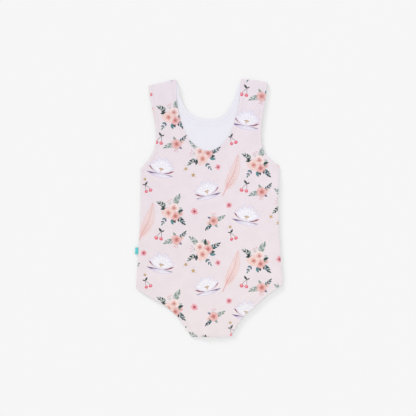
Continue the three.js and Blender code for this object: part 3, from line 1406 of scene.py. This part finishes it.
@dataclass(frozen=True)
class Layers:
    """How the three layers of cloth lie on each other.

    Attributes:
        front_wall: The front panel's wall.
        lining_wall: The lining's wall.
        back_wall: The back panel's wall.
        gap: The clearance between layers.
        seam_roll: How far from a seam the back panel rolls down to it.
        press: How thin the layers are pressed at the armholes and legs, as a share of their walls.
        press_reach: How far from an edge they are pressed so, and where this ends.
        hem_width: The width of the turned hems.
        hem_fade: The width over which a hem's thickness fades out.
        hem_raise: How much thicker the back's hems are.
        channel_raise: How much thicker the lining is along the neck.
        channel_cover: How far from the neck the back panel lies raised over that, and where this ends.
        air: How far the back panel stands off the lining.
        air_fade: How far from an edge it reaches that height.
        creases: The back panel's creases.
        under_creases: The front panel's creases, on the hidden side.
        under_flat: How far from an edge those start, and where they have their height.
        swell: The height and length of the broad waves in the laid cloth.
        ripple: The same of the small ones.
        pucker: The same of the gathers along a hem.
        pucker_band: How far from the edge the gathers rise, and where they end.
        stitch_rows: How far the two rows of hem stitches are from the edge.
        second_rows: How much further in the lining's second pair of rows is.
        stitch_sink: How deep they sink into the cloth.
        front_sink: How deep the front's and the lining's sink, as a share of that.
        second_sink: The same for the lining's second pair.
        stitch_reach: How far from a row the cloth is drawn in.
        stitch_stand: How far the stitches' middles lie over the cloth's top, and under its underside.
    """

    front_wall: float = 1.2 * MM
    lining_wall: float = 1.0 * MM
    back_wall: float = 0.95 * MM
    gap: float = 0.3 * MM
    seam_roll: float = 3.6 * MM
    press: float = 0.55
    press_reach: tuple[float, float] = (5 * MM, 20 * MM)
    hem_width: float = 7.0 * MM
    hem_fade: float = 2.0 * MM
    hem_raise: float = 0.3 * MM
    channel_raise: float = 0.3 * MM
    channel_cover: tuple[float, float] = (14 * MM, 24 * MM)
    air: float = 1.0 * MM
    air_fade: float = 34 * MM
    creases: tuple[Crease, ...] = (
        Crease((-104, 62), (-38, 30), -0.7, 9),
        Crease((104, 66), (46, 24), -0.6, 8),
        Crease((-88, 96), (-62, 58), 0.7, 8),
        Crease((86, 96), (70, 52), 0.6, 9),
        Crease((-104, -70), (-20, -54), 0.6, 13),
        Crease((26, -84), (106, -104), 0.7, 12),
        Crease((-98, -128), (-34, -158), 0.7, 9),
        Crease((98, -126), (38, -164), -0.6, 9),
        Crease((-8, 60), (4, -40), 0.5, 26),
        Crease((-112, 34), (-84, 22), 0.3, 5),
        Crease((112, 44), (88, 26), 0.35, 5),
        Crease((-66, 78), (-30, 64), -0.3, 6),
        Crease((28, 74), (62, 80), -0.25, 6),
        Crease((-60, -100), (-14, -122), -0.3, 8),
        Crease((12, -136), (52, -120), -0.3, 7),
        Crease((-16, -172), (-2, -204), 0.3, 6),
        Crease((22, -176), (12, -206), -0.25, 5),
        Crease((-78, 170), (-72, 132), -0.25, 6),
        Crease((72, 176), (66, 138), 0.25, 6),
        Crease((-50, -8), (-26, -24), 0.25, 7),
        Crease((40, 0), (68, -14), -0.25, 8),
    )
    under_creases: tuple[Crease, ...] = (
        Crease((-90, 40), (-30, 62), 0.16, 7),
        Crease((84, 20), (34, 48), 0.14, 6),
        Crease((-70, -60), (10, -84), 0.16, 9),
        Crease((90, -96), (40, -130), 0.15, 7),
        Crease((-30, -150), (6, -196), 0.14, 6),
        Crease((-76, 150), (-62, 100), 0.12, 6),
        Crease((70, 160), (54, 112), 0.12, 5),
    )
    under_flat: tuple[float, float] = (9 * MM, 20 * MM)
    swell: tuple[float, float] = (0.28 * MM, 95 * MM)
    ripple: tuple[float, float] = (0.1 * MM, 38 * MM)
    pucker: tuple[float, float] = (0.1 * MM, 9 * MM)
    pucker_band: tuple[float, float, float, float] = (0.8 * MM, 3.5 * MM, 7 * MM, 13 * MM)
    stitch_rows: tuple[float, float] = (5.0 * MM, 6.8 * MM)
    second_rows: float = 6.6 * MM
    stitch_sink: float = 0.16 * MM
    front_sink: float = 0.6
    second_sink: float = 0.5
    stitch_reach: float = 0.55 * MM
    stitch_stand: tuple[float, float] = (0.05 * MM, 0.02 * MM)


class Lay:
    """The heights of the laid layers at any point, from their sizes and the panels' outlines."""

    def __init__(self, sizes: Layers, back: Outline, front: Outline) -> None:
        """Finds the lines that the heights are measured from.

        Args:
            sizes: The layers' sizes.
            back: The back panel's outline.
            front: The front panel's outline.
        """
        self.sizes = sizes
        self.sewn = back.edges(*SEWN)
        self.hems = back.edges(*HEMMED)
        self.front_hems = front.edges(*HEMMED)
        self.front_neck = front.edges(Edge.NECK)
        self.pressed = back.edges(Edge.ARMHOLE, Edge.LEG)
        self.swell = Waves(sizes.swell[1], seed=3)
        self.ripple = Waves(sizes.ripple[1], seed=4)
        self.gathers = Waves(sizes.pucker[1], seed=5, count=11)

    def _press(self, points: Plane) -> np.ndarray:
        """How thick the layers are near the pressed hems, as a share of their walls."""
        away = smooth_step(nearest(self.pressed, points), *self.sizes.press_reach)
        return mix(self.sizes.press, 1.0, away)

    def _drawn_in(self, from_hem: np.ndarray) -> np.ndarray:
        """How far the stitches draw the cloth in, at a distance from a hem's edge."""
        reach = self.sizes.stitch_reach
        rows = [np.exp(-(((from_hem - row) / reach) ** 2)) for row in self.sizes.stitch_rows]
        return self.sizes.stitch_sink * sum(rows)

    def _gathered(self, points: Plane, from_hem: np.ndarray) -> np.ndarray:
        """The gathers' height near a hem."""
        start, full, fade, end = self.sizes.pucker_band
        band = smooth_step(from_hem, start, full) * (1 - smooth_step(from_hem, fade, end))
        return self.sizes.pucker[0] * band * self.gathers.at(points)

    def _turned_in(self, from_hem: np.ndarray) -> np.ndarray:
        """How much of a turned hem's extra thickness there is, at a distance from its edge."""
        width = self.sizes.hem_width
        return 1 - smooth_step(from_hem, width, width + self.sizes.hem_fade)

    def front(self, points: Plane) -> tuple[np.ndarray, np.ndarray]:
        """The heights of the front panel's underside and top."""
        sizes = self.sizes
        from_hem = nearest(self.front_hems, points)
        inside = smooth_step(np.minimum(from_hem, nearest(self.sewn, points)), *sizes.under_flat)
        raised = inside * sum(crease.at(points) for crease in sizes.under_creases)
        top = raised + sizes.front_wall * self._press(points)
        return raised + sizes.front_sink * self._drawn_in(from_hem), top

    def lining(self, points: Plane) -> tuple[np.ndarray, np.ndarray]:
        """The heights of the lining's underside and top."""
        sizes = self.sizes
        from_neck = nearest(self.front_neck, points)
        press = self._press(points)
        under = sizes.front_wall * press + sizes.gap
        top = under + sizes.lining_wall * press + sizes.channel_raise * self._turned_in(from_neck)
        sunk = sizes.front_sink * self._drawn_in(from_neck)
        sunk = sunk + sizes.second_sink * self._drawn_in(from_neck - sizes.second_rows)
        return under, top - sunk + 0.5 * self._gathered(points, from_neck)

    def back(self, points: Plane) -> tuple[np.ndarray, np.ndarray]:
        """The heights of the back panel's underside and top."""
        sizes = self.sizes
        from_hem = nearest(self.hems, points)
        from_seam = nearest(self.sewn, points)
        over_channel = 1 - smooth_step(nearest(self.front_neck, points), *sizes.channel_cover)
        press = self._press(points)
        on_front = sizes.front_wall * press + sizes.gap
        on_lining = on_front + sizes.lining_wall * press + sizes.gap
        on_lining = on_lining + sizes.channel_raise * over_channel
        under = mix(on_front, on_lining, smooth_step(from_seam, 0, sizes.seam_roll))
        waves = sizes.swell[0] * self.swell.at(points) + sizes.ripple[0] * self.ripple.at(points)
        folds = sum(crease.at(points) for crease in sizes.creases)
        inside = smooth_step(np.minimum(from_hem, from_seam), 0, sizes.air_fade)
        under = under + inside * (sizes.air + folds + waves)
        wall = sizes.back_wall + sizes.hem_raise * self._turned_in(from_hem)
        return under, under + wall * press - self._drawn_in(from_hem) + self._gathered(points, from_hem)


@dataclass
class Cloth:
    """A laid panel: a thin wall of jersey between two height fields over its outline.

    Attributes:
        node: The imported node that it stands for.
        outline: The panel's edge.
        heights: Gives the heights of its underside and its top at each point.
        guides: Lines that its triangles follow, beside those along its edge.
        dye: The screen colour of its right side.
        inside_dye: The screen colour of its wrong side.
        right_side: The face that is its right side.
        marks: The print's marks on its right side.
        rim: How far from its edge the wall is rounded.
        rim_level: How far up the wall its two faces meet at the edge, as a share of its thickness.
        rings: How far inside its edge lie the rings of points that round it.
        wrong_rings: The same for its wrong side.
        fine: The distance between the points of its right side.
        coarse: The distance between the points of its wrong side.
        clear: How far those keep from its edge.
        mark_fine: The distance between the points inside a large mark.
        mark_clear: How far those keep from the mark's edge.
        mark_least: The least width and length of a large mark.
        weld: How near two vertices are that become one.
    """

    node: str
    outline: Outline
    heights: Callable[[Plane], tuple[np.ndarray, np.ndarray]]
    guides: list[Plane]
    dye: tuple[int, int, int]
    inside_dye: tuple[int, int, int]
    right_side: Side = Side.TOP
    marks: list[Mark] = field(default_factory=list)
    rim: float = 0.5 * MM
    rim_level: float = 0.3
    rings: tuple[float, ...] = (0.06 * MM, 0.2 * MM, 0.5 * MM, 1.5 * MM)
    wrong_rings: tuple[float, ...] = (0.15 * MM, 0.5 * MM)
    fine: float = 3 * MM
    coarse: float = 6 * MM
    clear: float = 1.2 * MM
    mark_fine: float = 1.8 * MM
    mark_clear: float = 0.6 * MM
    mark_least: float = 3 * MM
    weld: float = 0.002 * MM

    def build(self, material: bpy.types.Material) -> bpy.types.Object:
        """Builds the wall.

        Args:
            material: The cloth's finish.

        Returns:
            The piece.
        """
        rings = [closed(self.outline.inset(distance)) for distance in self.rings]
        wrong_rings = [closed(self.outline.inset(distance)) for distance in self.wrong_rings]
        loose = self._scattered(self.fine, self.marks)
        right = Face.cut(self.outline.points, [*rings, *self.guides], loose, self.marks)
        edge = right.points[right.rim()]
        wrong = Face.cut(edge, wrong_rings, self._scattered(self.coarse, ()))
        line = Line(edge, is_ring=True)

        places: list[np.ndarray] = []
        triangles: list[np.ndarray] = []
        colours: list[np.ndarray] = []
        for side, face in ((self.right_side, right), (Side(-self.right_side.value), wrong)):
            under, top = self.heights(face.points)
            inwards = np.clip(line.distance(face.points) / self.rim, 0, 1)
            full = np.sqrt(1 - (1 - inwards) ** 2)
            meeting = mix(under, top, self.rim_level)
            z = mix(meeting, top if side is Side.TOP else under, full)
            turned = slice(None) if side is Side.TOP else slice(None, None, -1)
            triangles.append(face.triangles[:, turned] + sum(len(part) for part in places))
            colours.append(self._colours(face, side)[:, turned])
            places.append(np.column_stack([face.points, z]))
        piece = self._welded(np.concatenate(places), np.concatenate(triangles), np.concatenate(colours))
        piece.data.materials.append(material)
        return piece

    def _scattered(self, step: float, marks: Iterable[Mark]) -> Plane:
        """Loose points all over the panel, and closer ones inside the larger marks.

        Args:
            step: The distance between the points.
            marks: The marks.

        Returns:
            The points.
        """
        rng = np.random.default_rng(SEED)

        def spread(within: Plane, step: float, clear: float) -> Plane:
            """Uneven points inside an outline, clear of its edge."""
            low, high = within.min(0), within.max(0)
            columns, rows = (np.arange(a + step / 2, b, step) for a, b in zip(low, high))
            grid = np.stack(np.meshgrid(columns, rows), -1).reshape(-1, 2)
            grid = grid + rng.uniform(-0.3, 0.3, grid.shape) * step
            return grid[depth_in(grid, within) > clear] if len(grid) else grid

        found = [spread(self.outline.points[::4], step, self.clear)]
        for mark in marks:
            if np.ptp(mark.outline, axis=0).min() > self.mark_least:
                found.append(spread(mark.outline, self.mark_fine, self.mark_clear))
        return np.concatenate(found)

    def _colours(self, face: Face, side: Side) -> np.ndarray:
        """The dye at every corner of a face's triangles.

        Args:
            face: The face.
            side: Which of the two it is.

        Returns:
            The linear colours, one row of three corners for each triangle.
        """
        plain = self.dye if side is self.right_side else self.inside_dye
        colours = np.tile(np.array(linear(*plain)), (len(face.triangles), 3, 1))
        corners = face.points[face.triangles]
        mottle = Waves(5 * MM, SEED)
        covered: list[list[int]] = [[] for _ in self.marks]
        for triangle, marks in enumerate(face.covers):
            for mark in marks:
                covered[mark].append(triangle)
        for mark, owned in zip(self.marks, covered):
            if owned:
                points = corners[owned].reshape(-1, 2)
                ink, cover = mark.wash(points, mottle.at(points))
                colours[owned] = mix(colours[owned], ink.reshape(-1, 3, 3), cover.reshape(-1, 3, 1))
        return colours

    def _welded(
        self, places: np.ndarray, triangles: np.ndarray, colours: np.ndarray
    ) -> bpy.types.Object:
        """The two faces as one closed mesh, with the dye on its corners.

        Args:
            places: The vertices of both faces.
            triangles: The triangles of both.
            colours: The colours of their corners.

        Returns:
            The piece.
        """
        keys = np.round(places / self.weld).astype(np.int64)
        _, first, joined = np.unique(keys, axis=0, return_index=True, return_inverse=True)
        triangles = joined.reshape(-1)[triangles]
        whole = np.array([len(set(t)) == 3 for t in triangles.tolist()])
        piece = piece_from(self.node + "_cloth", places[first], triangles[whole].tolist())
        layer = piece.data.color_attributes.new(COLOUR_ATTRIBUTE, "FLOAT_COLOR", "CORNER")
        rgba = np.ones((int(whole.sum()) * 3, 4), np.float32)
        rgba[:, :3] = colours[whole].reshape(-1, 3)
        layer.data.foreach_set("color", rgba.ravel())
        return piece


@dataclass
class StitchRows:
    """Rows of hem stitches along lines on the cloth, made by Geometry Nodes.

    Attributes:
        name: The piece's name.
        lines: The rows, as points in space.
        pitch: The distance from one stitch to the next.
        length: A stitch's length.
        width: Its width.
        height: Its height.
        unevenness: How far, in radians, stitches turn off their row.
    """

    name: str
    lines: list[np.ndarray]
    pitch: float = 2.6 * MM
    length: float = 2.1 * MM
    width: float = 0.4 * MM
    height: float = 0.3 * MM
    unevenness: float = 0.1

    def build(self, material: bpy.types.Material) -> bpy.types.Object:
        """Sews the rows.

        Args:
            material: The thread's finish.

        Returns:
            The piece, a plain mesh.
        """
        places = np.concatenate(self.lines)
        edges = []
        first = 0
        for line in self.lines:
            edges += [(first + i, first + i + 1) for i in range(len(line) - 1)]
            first += len(line)
        guide_mesh = bpy.data.meshes.new(self.name + "_rows")
        guide_mesh.from_pydata([tuple(p) for p in places], edges, [])
        guide = bpy.data.objects.new(self.name + "_rows", guide_mesh)
        bpy.context.scene.collection.objects.link(guide)
        modifier = guide.modifiers.new("stitches", "NODES")
        modifier.node_group = self._tree()
        values = {
            "Pitch": self.pitch,
            "Length": self.length,
            "Width": self.width,
            "Height": self.height,
            "Unevenness": self.unevenness,
            "Seed": SEED,
            "Thread": material,
        }
        for item in modifier.node_group.interface.items_tree:
            if item.item_type == "SOCKET" and item.name in values:
                modifier[item.identifier] = values[item.name]
        ready = guide.evaluated_get(bpy.context.evaluated_depsgraph_get())
        mesh = bpy.data.meshes.new_from_object(ready)
        bpy.data.objects.remove(guide)
        mesh.name = self.name
        mesh.shade_smooth()
        piece = bpy.data.objects.new(self.name, mesh)
        bpy.context.scene.collection.objects.link(piece)
        return piece

    def _tree(self) -> bpy.types.NodeTree:
        """The node tree that sets stitches along the rows."""
        tree = bpy.data.node_groups.new("stitch_rows", "GeometryNodeTree")
        sockets = (
            ("Geometry", "NodeSocketGeometry"),
            ("Pitch", "NodeSocketFloat"),
            ("Length", "NodeSocketFloat"),
            ("Width", "NodeSocketFloat"),
            ("Height", "NodeSocketFloat"),
            ("Unevenness", "NodeSocketFloat"),
            ("Seed", "NodeSocketInt"),
            ("Thread", "NodeSocketMaterial"),
        )
        for name, kind in sockets:
            tree.interface.new_socket(name, in_out="INPUT", socket_type=kind)
        tree.interface.new_socket("Geometry", in_out="OUTPUT", socket_type="NodeSocketGeometry")

        def node(kind: str, settings: dict[str, Any], inputs: dict[str, Any]) -> bpy.types.Node:
            """Adds a node with its settings and the values or links of its inputs."""
            added = tree.nodes.new(kind)
            for key, value in settings.items():
                setattr(added, key, value)
            for key, value in inputs.items():
                socket = next(s for s in added.inputs if s.enabled and key in (s.name, s.identifier))
                if isinstance(value, bpy.types.NodeSocket):
                    tree.links.new(value, socket)
                else:
                    socket.default_value = value
            return added

        given = tree.nodes.new("NodeGroupInput").outputs
        curve = node("GeometryNodeMeshToCurve", {}, {"Mesh": given["Geometry"]})
        spots = node(
            "GeometryNodeCurveToPoints",
            {"mode": "LENGTH"},
            {"Curve": curve.outputs[0], "Length": given["Pitch"]},
        )
        along = node(
            "FunctionNodeAlignRotationToVector",
            {"axis": "X", "pivot_axis": "Z"},
            {"Vector": spots.outputs["Tangent"]},
        )
        spread = node("ShaderNodeMath", {"operation": "MULTIPLY"}, {})
        tree.links.new(given["Unevenness"], spread.inputs[0])
        spread.inputs[1].default_value = -1.0
        skew = node(
            "FunctionNodeRandomValue",
            {"data_type": "FLOAT"},
            {"Min": spread.outputs[0], "Max": given["Unevenness"], "Seed": given["Seed"]},
        )
        angle = node("ShaderNodeCombineXYZ", {}, {"Z": skew.outputs[1]})
        turned = node(
            "FunctionNodeRotateRotation",
            {"rotation_space": "LOCAL"},
            {"Rotation": along.outputs[0]},
        )
        tree.links.new(angle.outputs[0], turned.inputs[1])
        ball = node("GeometryNodeMeshUVSphere", {}, {"Segments": 6, "Rings": 4, "Radius": 0.5})
        sides = {"X": given["Length"], "Y": given["Width"], "Z": given["Height"]}
        size = node("ShaderNodeCombineXYZ", {}, sides)
        placed = node(
            "GeometryNodeInstanceOnPoints",
            {},
            {
                "Points": spots.outputs["Points"],
                "Instance": ball.outputs["Mesh"],
                "Rotation": turned.outputs[0],
                "Scale": size.outputs[0],
            },
        )
        real = node("GeometryNodeRealizeInstances", {}, {"Geometry": placed.outputs[0]})
        dressed = node(
            "GeometryNodeSetMaterial", {}, {"Geometry": real.outputs[0], "Material": given["Thread"]}
        )
        tree.links.new(dressed.outputs[0], tree.nodes.new("NodeGroupOutput").inputs[0])
        return tree


@dataclass
class SideLabel:
    """A ribbon folded in two and let into the left side seam.

    Attributes:
        seam: The left side seam.
        up: How far up the garment its middle is.
        reach: How far it stands out.
        stub: How far outside the seam it starts.
        height: Its width along the seam.
        ply: The ribbon's thickness.
        full: The height of the fold.
        dip: How much further in the fold's middle is than its corners.
        wave: How unevenly the fold runs.
        flare: How much wider it is at the fold, as a share.
        sag: How much lower its corners lie at the fold, as a share.
        rows: How many rows of faces it has along the seam.
    """

    seam: Line
    up: float = -74.5 * MM
    reach: float = 5.7 * MM
    stub: float = 0.3 * MM
    height: float = 11.0 * MM
    ply: float = 0.7 * MM
    full: float = 2.2 * MM
    dip: float = 0.25 * MM
    wave: float = 0.12 * MM
    flare: float = 0.012
    sag: float = 0.12
    rows: int = 18

    def build(self, material: bpy.types.Material) -> bpy.types.Object:
        """Folds the ribbon.

        Args:
            material: Its finish.

        Returns:
            The piece.
        """
        seam = self.seam.points
        middle = np.array([np.interp(-self.up, -seam[:, 1], seam[:, 0]), self.up])
        near = np.argmin(np.linalg.norm(seam - middle, axis=1))
        down = seam[near + 3] - seam[near - 3]
        down /= np.linalg.norm(down)
        out = np.array([down[1], -down[0]])
        profile = self._profile()
        places = []
        for k in range(self.rows + 1):
            t = 2 * k / self.rows - 1
            for x, z in profile:
                far = (x - self.stub) / (self.reach - self.stub)
                bend = self.dip * far**2 * (1 - t * t) + self.wave * math.sin(3.1 * t + 0.6) * far
                along = down * (t * self.height / 2) * (1 + self.flare * far)
                spot = middle + out * (x - bend) + along
                places.append((*spot, z * (1 - self.sag * abs(t) ** 3 * far)))
        count = len(profile)
        faces = []
        for k in range(self.rows):
            for i in range(count):
                j = (i + 1) % count
                faces.append((k * count + i, k * count + j, (k + 1) * count + j, (k + 1) * count + i))
        half = count // 2
        for k, order in ((0, -1), (self.rows, 1)):
            for i in range(half - 1):
                quad = [i, i + 1, count - 2 - i, count - 1 - i]
                faces.append(tuple(k * count + q for q in quad[::order]))
        piece = piece_from("side_label_ribbon", np.array(places), faces)
        piece.data.materials.append(material)
        return piece

    def _profile(self) -> list[tuple[float, float]]:
        """The folded ribbon seen along the seam: its outer line out and back, then its inner line."""
        radius = self.full / 2
        bend = self.reach - radius
        arc = np.linspace(-math.pi / 2, math.pi / 2, 9)
        straight = np.linspace(self.stub, bend, 6)[:-1]

        def line(at: float) -> list[tuple[float, float]]:
            """The line at a radius of the fold, from the lower end out and back."""
            lower = [(float(x), radius - at) for x in straight]
            fold = [(bend + at * math.cos(a), radius + at * math.sin(a)) for a in arc]
            upper = [(float(x), radius + at) for x in straight[::-1]]
            return [*lower, *fold, *upper]

        return [*line(radius), *line(radius - self.ply)[::-1]]

    def flat_size(self) -> tuple[float, float]:
        """The ribbon's width and the length that shows of it, out, round the fold and back."""
        radius = (self.full - self.ply) / 2
        return self.height, 2 * (self.reach - self.full / 2 - self.stub) + math.pi * radius


@dataclass
class Leotard:
    """The whole garment.

    Attributes:
        wardrobe: The finishes.
        layers: How its layers lie.
        print: The print on its two panels.
        origins: Where the print's repeat falls on the back and on the front.
        lining_dye: The lining's colour on screen.
        guide_clear: How far from an edge the guide lines end.
        row_clear: How far from an edge the rows of stitches end.
    """

    wardrobe: Wardrobe
    layers: Layers = Layers()
    print: FloralPrint = FloralPrint()
    origins: tuple[tuple[float, float], tuple[float, float]] = (
        (-35 * MM, -37 * MM),
        (-88 * MM, 12 * MM),
    )
    lining_dye: tuple[int, int, int] = (238, 237, 245)
    guide_clear: float = 1.2 * MM
    row_clear: float = 2 * MM

    def build(self) -> None:
        """Builds the pieces and parents each to the root body."""
        back, front, lining = map(Outline, ("back_panel", "front_panel", "front_lining"))
        lay = Lay(self.layers, back, front)
        shifts = (0, self.layers.second_rows)

        back_cloth = Cloth(
            "back_panel",
            back,
            lay.back,
            self._guides(lay.hems, back.points),
            self.print.ground,
            self.print.wrong_side,
            marks=self._marks(back, self.origins[0]),
        )
        front_cloth = Cloth(
            "front_panel",
            front,
            lay.front,
            self._guides(lay.front_hems, front.points),
            self.print.ground,
            self.print.wrong_side,
            right_side=Side.UNDER,
            marks=self._marks(front, self.origins[1]),
        )
        lining_cloth = Cloth(
            "front_lining",
            lining,
            lay.lining,
            self._guides(lay.front_neck, lining.points, shifts),
            self.lining_dye,
            self.lining_dye,
        )
        back_rows = self._rows(lay.hems, back.points, lay.back, Side.TOP)
        lining_rows = self._rows(lay.front_neck, lining.points, lay.lining, Side.TOP, shifts)
        front_rows = self._rows(lay.front_hems, front.points, lay.front, Side.UNDER)
        self._declare(
            back_cloth,
            "printed_jersey",
            self.wardrobe.printed,
            StitchRows("back_panel_stitches", back_rows),
        )
        self._declare(
            lining_cloth,
            "lining_jersey",
            self.wardrobe.lining,
            StitchRows("front_lining_stitches", lining_rows),
        )
        self._declare(
            front_cloth,
            "printed_jersey",
            self.wardrobe.printed,
            StitchRows("front_panel_stitches", front_rows),
        )
        self._label(SideLabel(back.edges(Edge.SIDE)[0]))

    def _marks(self, outline: Outline, origin: Sequence[float]) -> list[Mark]:
        """The print's marks on a panel."""
        return self.print.marks_over(outline.points.min(0), outline.points.max(0), origin)

    def _guides(
        self, hems: Sequence[Line], outline: Plane, shifts: Sequence[float] = (0,)
    ) -> list[Plane]:
        """Lines along the hems that the cloth's triangles follow, so that the stitches can sink in.

        Args:
            hems: The hems' edges.
            outline: The panel's outline.
            shifts: How far further in the rows are repeated.

        Returns:
            The lines.
        """
        first, second = self.layers.stitch_rows
        sink = self.layers.stitch_reach
        places = (first - 1.3 * sink, first, (first + second) / 2, second, second + 1.3 * sink)
        return [
            run
            for hem in hems
            for shift in shifts
            for place in places
            for run in runs_inside(hem.moved_left(place + shift), outline, self.guide_clear)
        ]

    def _rows(
        self,
        hems: Sequence[Line],
        outline: Plane,
        heights: Callable[[Plane], tuple[np.ndarray, np.ndarray]],
        side: Side,
        shifts: Sequence[float] = (0,),
    ) -> list[np.ndarray]:
        """The lines in space that a panel's hem stitches follow.

        Args:
            hems: The hems' edges.
            outline: The panel's outline.
            heights: Gives the panel's heights.
            side: The side that the stitches show on.
            shifts: How far further in the rows are repeated.

        Returns:
            The lines.
        """
        over, below = self.layers.stitch_stand
        rows = []
        for hem in hems:
            for shift in shifts:
                for place in self.layers.stitch_rows:
                    for run in runs_inside(hem.moved_left(place + shift), outline, self.row_clear):
                        under, top = heights(run)
                        z = top + over if side is Side.TOP else under - below
                        rows.append(np.column_stack([run, z]))
        return rows

    def _declare(
        self,
        cloth: Cloth,
        slot: str,
        material: bpy.types.Material,
        stitches: StitchRows,
    ) -> None:
        """Args:
            cloth: The panel.
            slot: The key that picks its stitches' thread.
            material: Its finish.
            stitches: Its stitches.
        """
        piece = cloth.build(material)
        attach(piece, "root")
        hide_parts(cloth.node)
        threads = {
            "printed_jersey": self.wardrobe.pink_thread,
            "lining_jersey": self.wardrobe.white_thread,
        }
        sewing = stitches.build(threads[slot])
        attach(sewing, "root")
        for made in (piece, sewing):
            made.data.calc_loop_triangles()
            LOG.info("%s has %d triangles", made.name, len(made.data.loop_triangles))

    def _label(self, label: SideLabel) -> None:
        piece = label.build(self.wardrobe.ribbon)
        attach(piece, "root")
        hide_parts("side_label")
        label.flat_size()
        LOG.info("%s has %d faces", piece.name, len(piece.data.polygons))


@dataclass(frozen=True)
class Lamp:
    """A far lamp that lights only some of the things.

    Attributes:
        name: Its name.
        strength: How strong it is.
        height: How high it stands, in degrees.
        side: The direction that it comes from, in degrees anticlockwise from the right.
        spread: How large it looks, in degrees.
    """

    name: str
    strength: float
    height: float
    side: float
    spread: float

    def build(self, lit: Iterable[bpy.types.Object]) -> None:
        """Sets up the lamp.

        Args:
            lit: The things that it lights.
        """
        lamp = bpy.data.lights.new(self.name, "SUN")
        lamp.energy = self.strength
        lamp.angle = math.radians(self.spread)
        light = bpy.data.objects.new(self.name, lamp)
        height, side = math.radians(self.height), math.radians(self.side)
        level = math.cos(height)
        source = Vector((level * math.cos(side), level * math.sin(side), math.sin(height)))
        light.rotation_euler = source.to_track_quat("Z", "Y").to_euler()
        bpy.context.scene.collection.objects.link(light)
        receivers = bpy.data.collections.new(self.name + "_lights")
        for thing in lit:
            receivers.objects.link(thing)
        light.light_linking.receiver_collection = receivers


@dataclass
class Studio:
    """A pale table under soft light from the upper left, seen from straight above.

    Attributes:
        table: The table's finish.
        extent: The table's width.
        drop: How far the table's top lies under the cloth.
        ambient: The strength of the light from all round.
        cloth_lamp: The light from the upper left on the cloth.
        table_lamp: The lower light beside it that draws the cloth's shadow on the table.
        camera_at: The camera's place.
        view_width: The width of the table that it sees.
        sensor: The width of its sensor, in millimetres.
        clip: The least and the greatest distance that it sees.
    """

    table: TableFinish = TableFinish("table_top")
    extent: float = 6.0
    drop: float = 0.05 * MM
    ambient: float = 0.895
    cloth_lamp: Lamp = Lamp("cloth_lamp", strength=0.402, height=60, side=128, spread=20)
    table_lamp: Lamp = Lamp("table_lamp", strength=1.66, height=12, side=128, spread=9)
    camera_at: tuple[float, float, float] = (-1.46 * MM, 0.07 * MM, 1.8)
    view_width: float = 723.5 * MM
    sensor: float = 36.0
    clip: tuple[float, float] = (0.05, 20.0)

    def build(self) -> None:
        """Sets up the table, the lights and the camera."""
        scene = bpy.context.scene
        half = self.extent / 2
        signs = ((-1, -1), (1, -1), (1, 1), (-1, 1))
        corners = np.array([(half * x, half * y, -self.drop) for x, y in signs])
        top = piece_from("table", corners, [(0, 1, 2, 3)])
        top.data.materials.append(self.table.material())

        world = bpy.data.worlds.new("room")
        world.use_nodes = True
        background = world.node_tree.nodes["Background"]
        background.inputs["Color"].default_value = (1.0, 1.0, 1.0, 1.0)
        background.inputs["Strength"].default_value = self.ambient
        scene.world = world

        cloths = [thing for thing in scene.objects if thing.type == "MESH" and thing is not top]
        self.cloth_lamp.build(cloths)
        self.table_lamp.build([top])

        lens = bpy.data.cameras.new("camera")
        lens.sensor_width = self.sensor
        lens.lens = self.sensor * self.camera_at[2] / self.view_width
        lens.clip_start, lens.clip_end = self.clip
        camera = bpy.data.objects.new("camera", lens)
        camera.location = self.camera_at
        scene.collection.objects.link(camera)
        scene.camera = camera
        scene.view_settings.view_transform = "Standard"


def main() -> None:
    """Builds the garment and the studio."""
    logging.basicConfig(level=logging.INFO, format="%(name)s: %(message)s")
    Leotard(Wardrobe.stocked()).build()
    Studio().build()


if __name__ == "__main__":
    main()
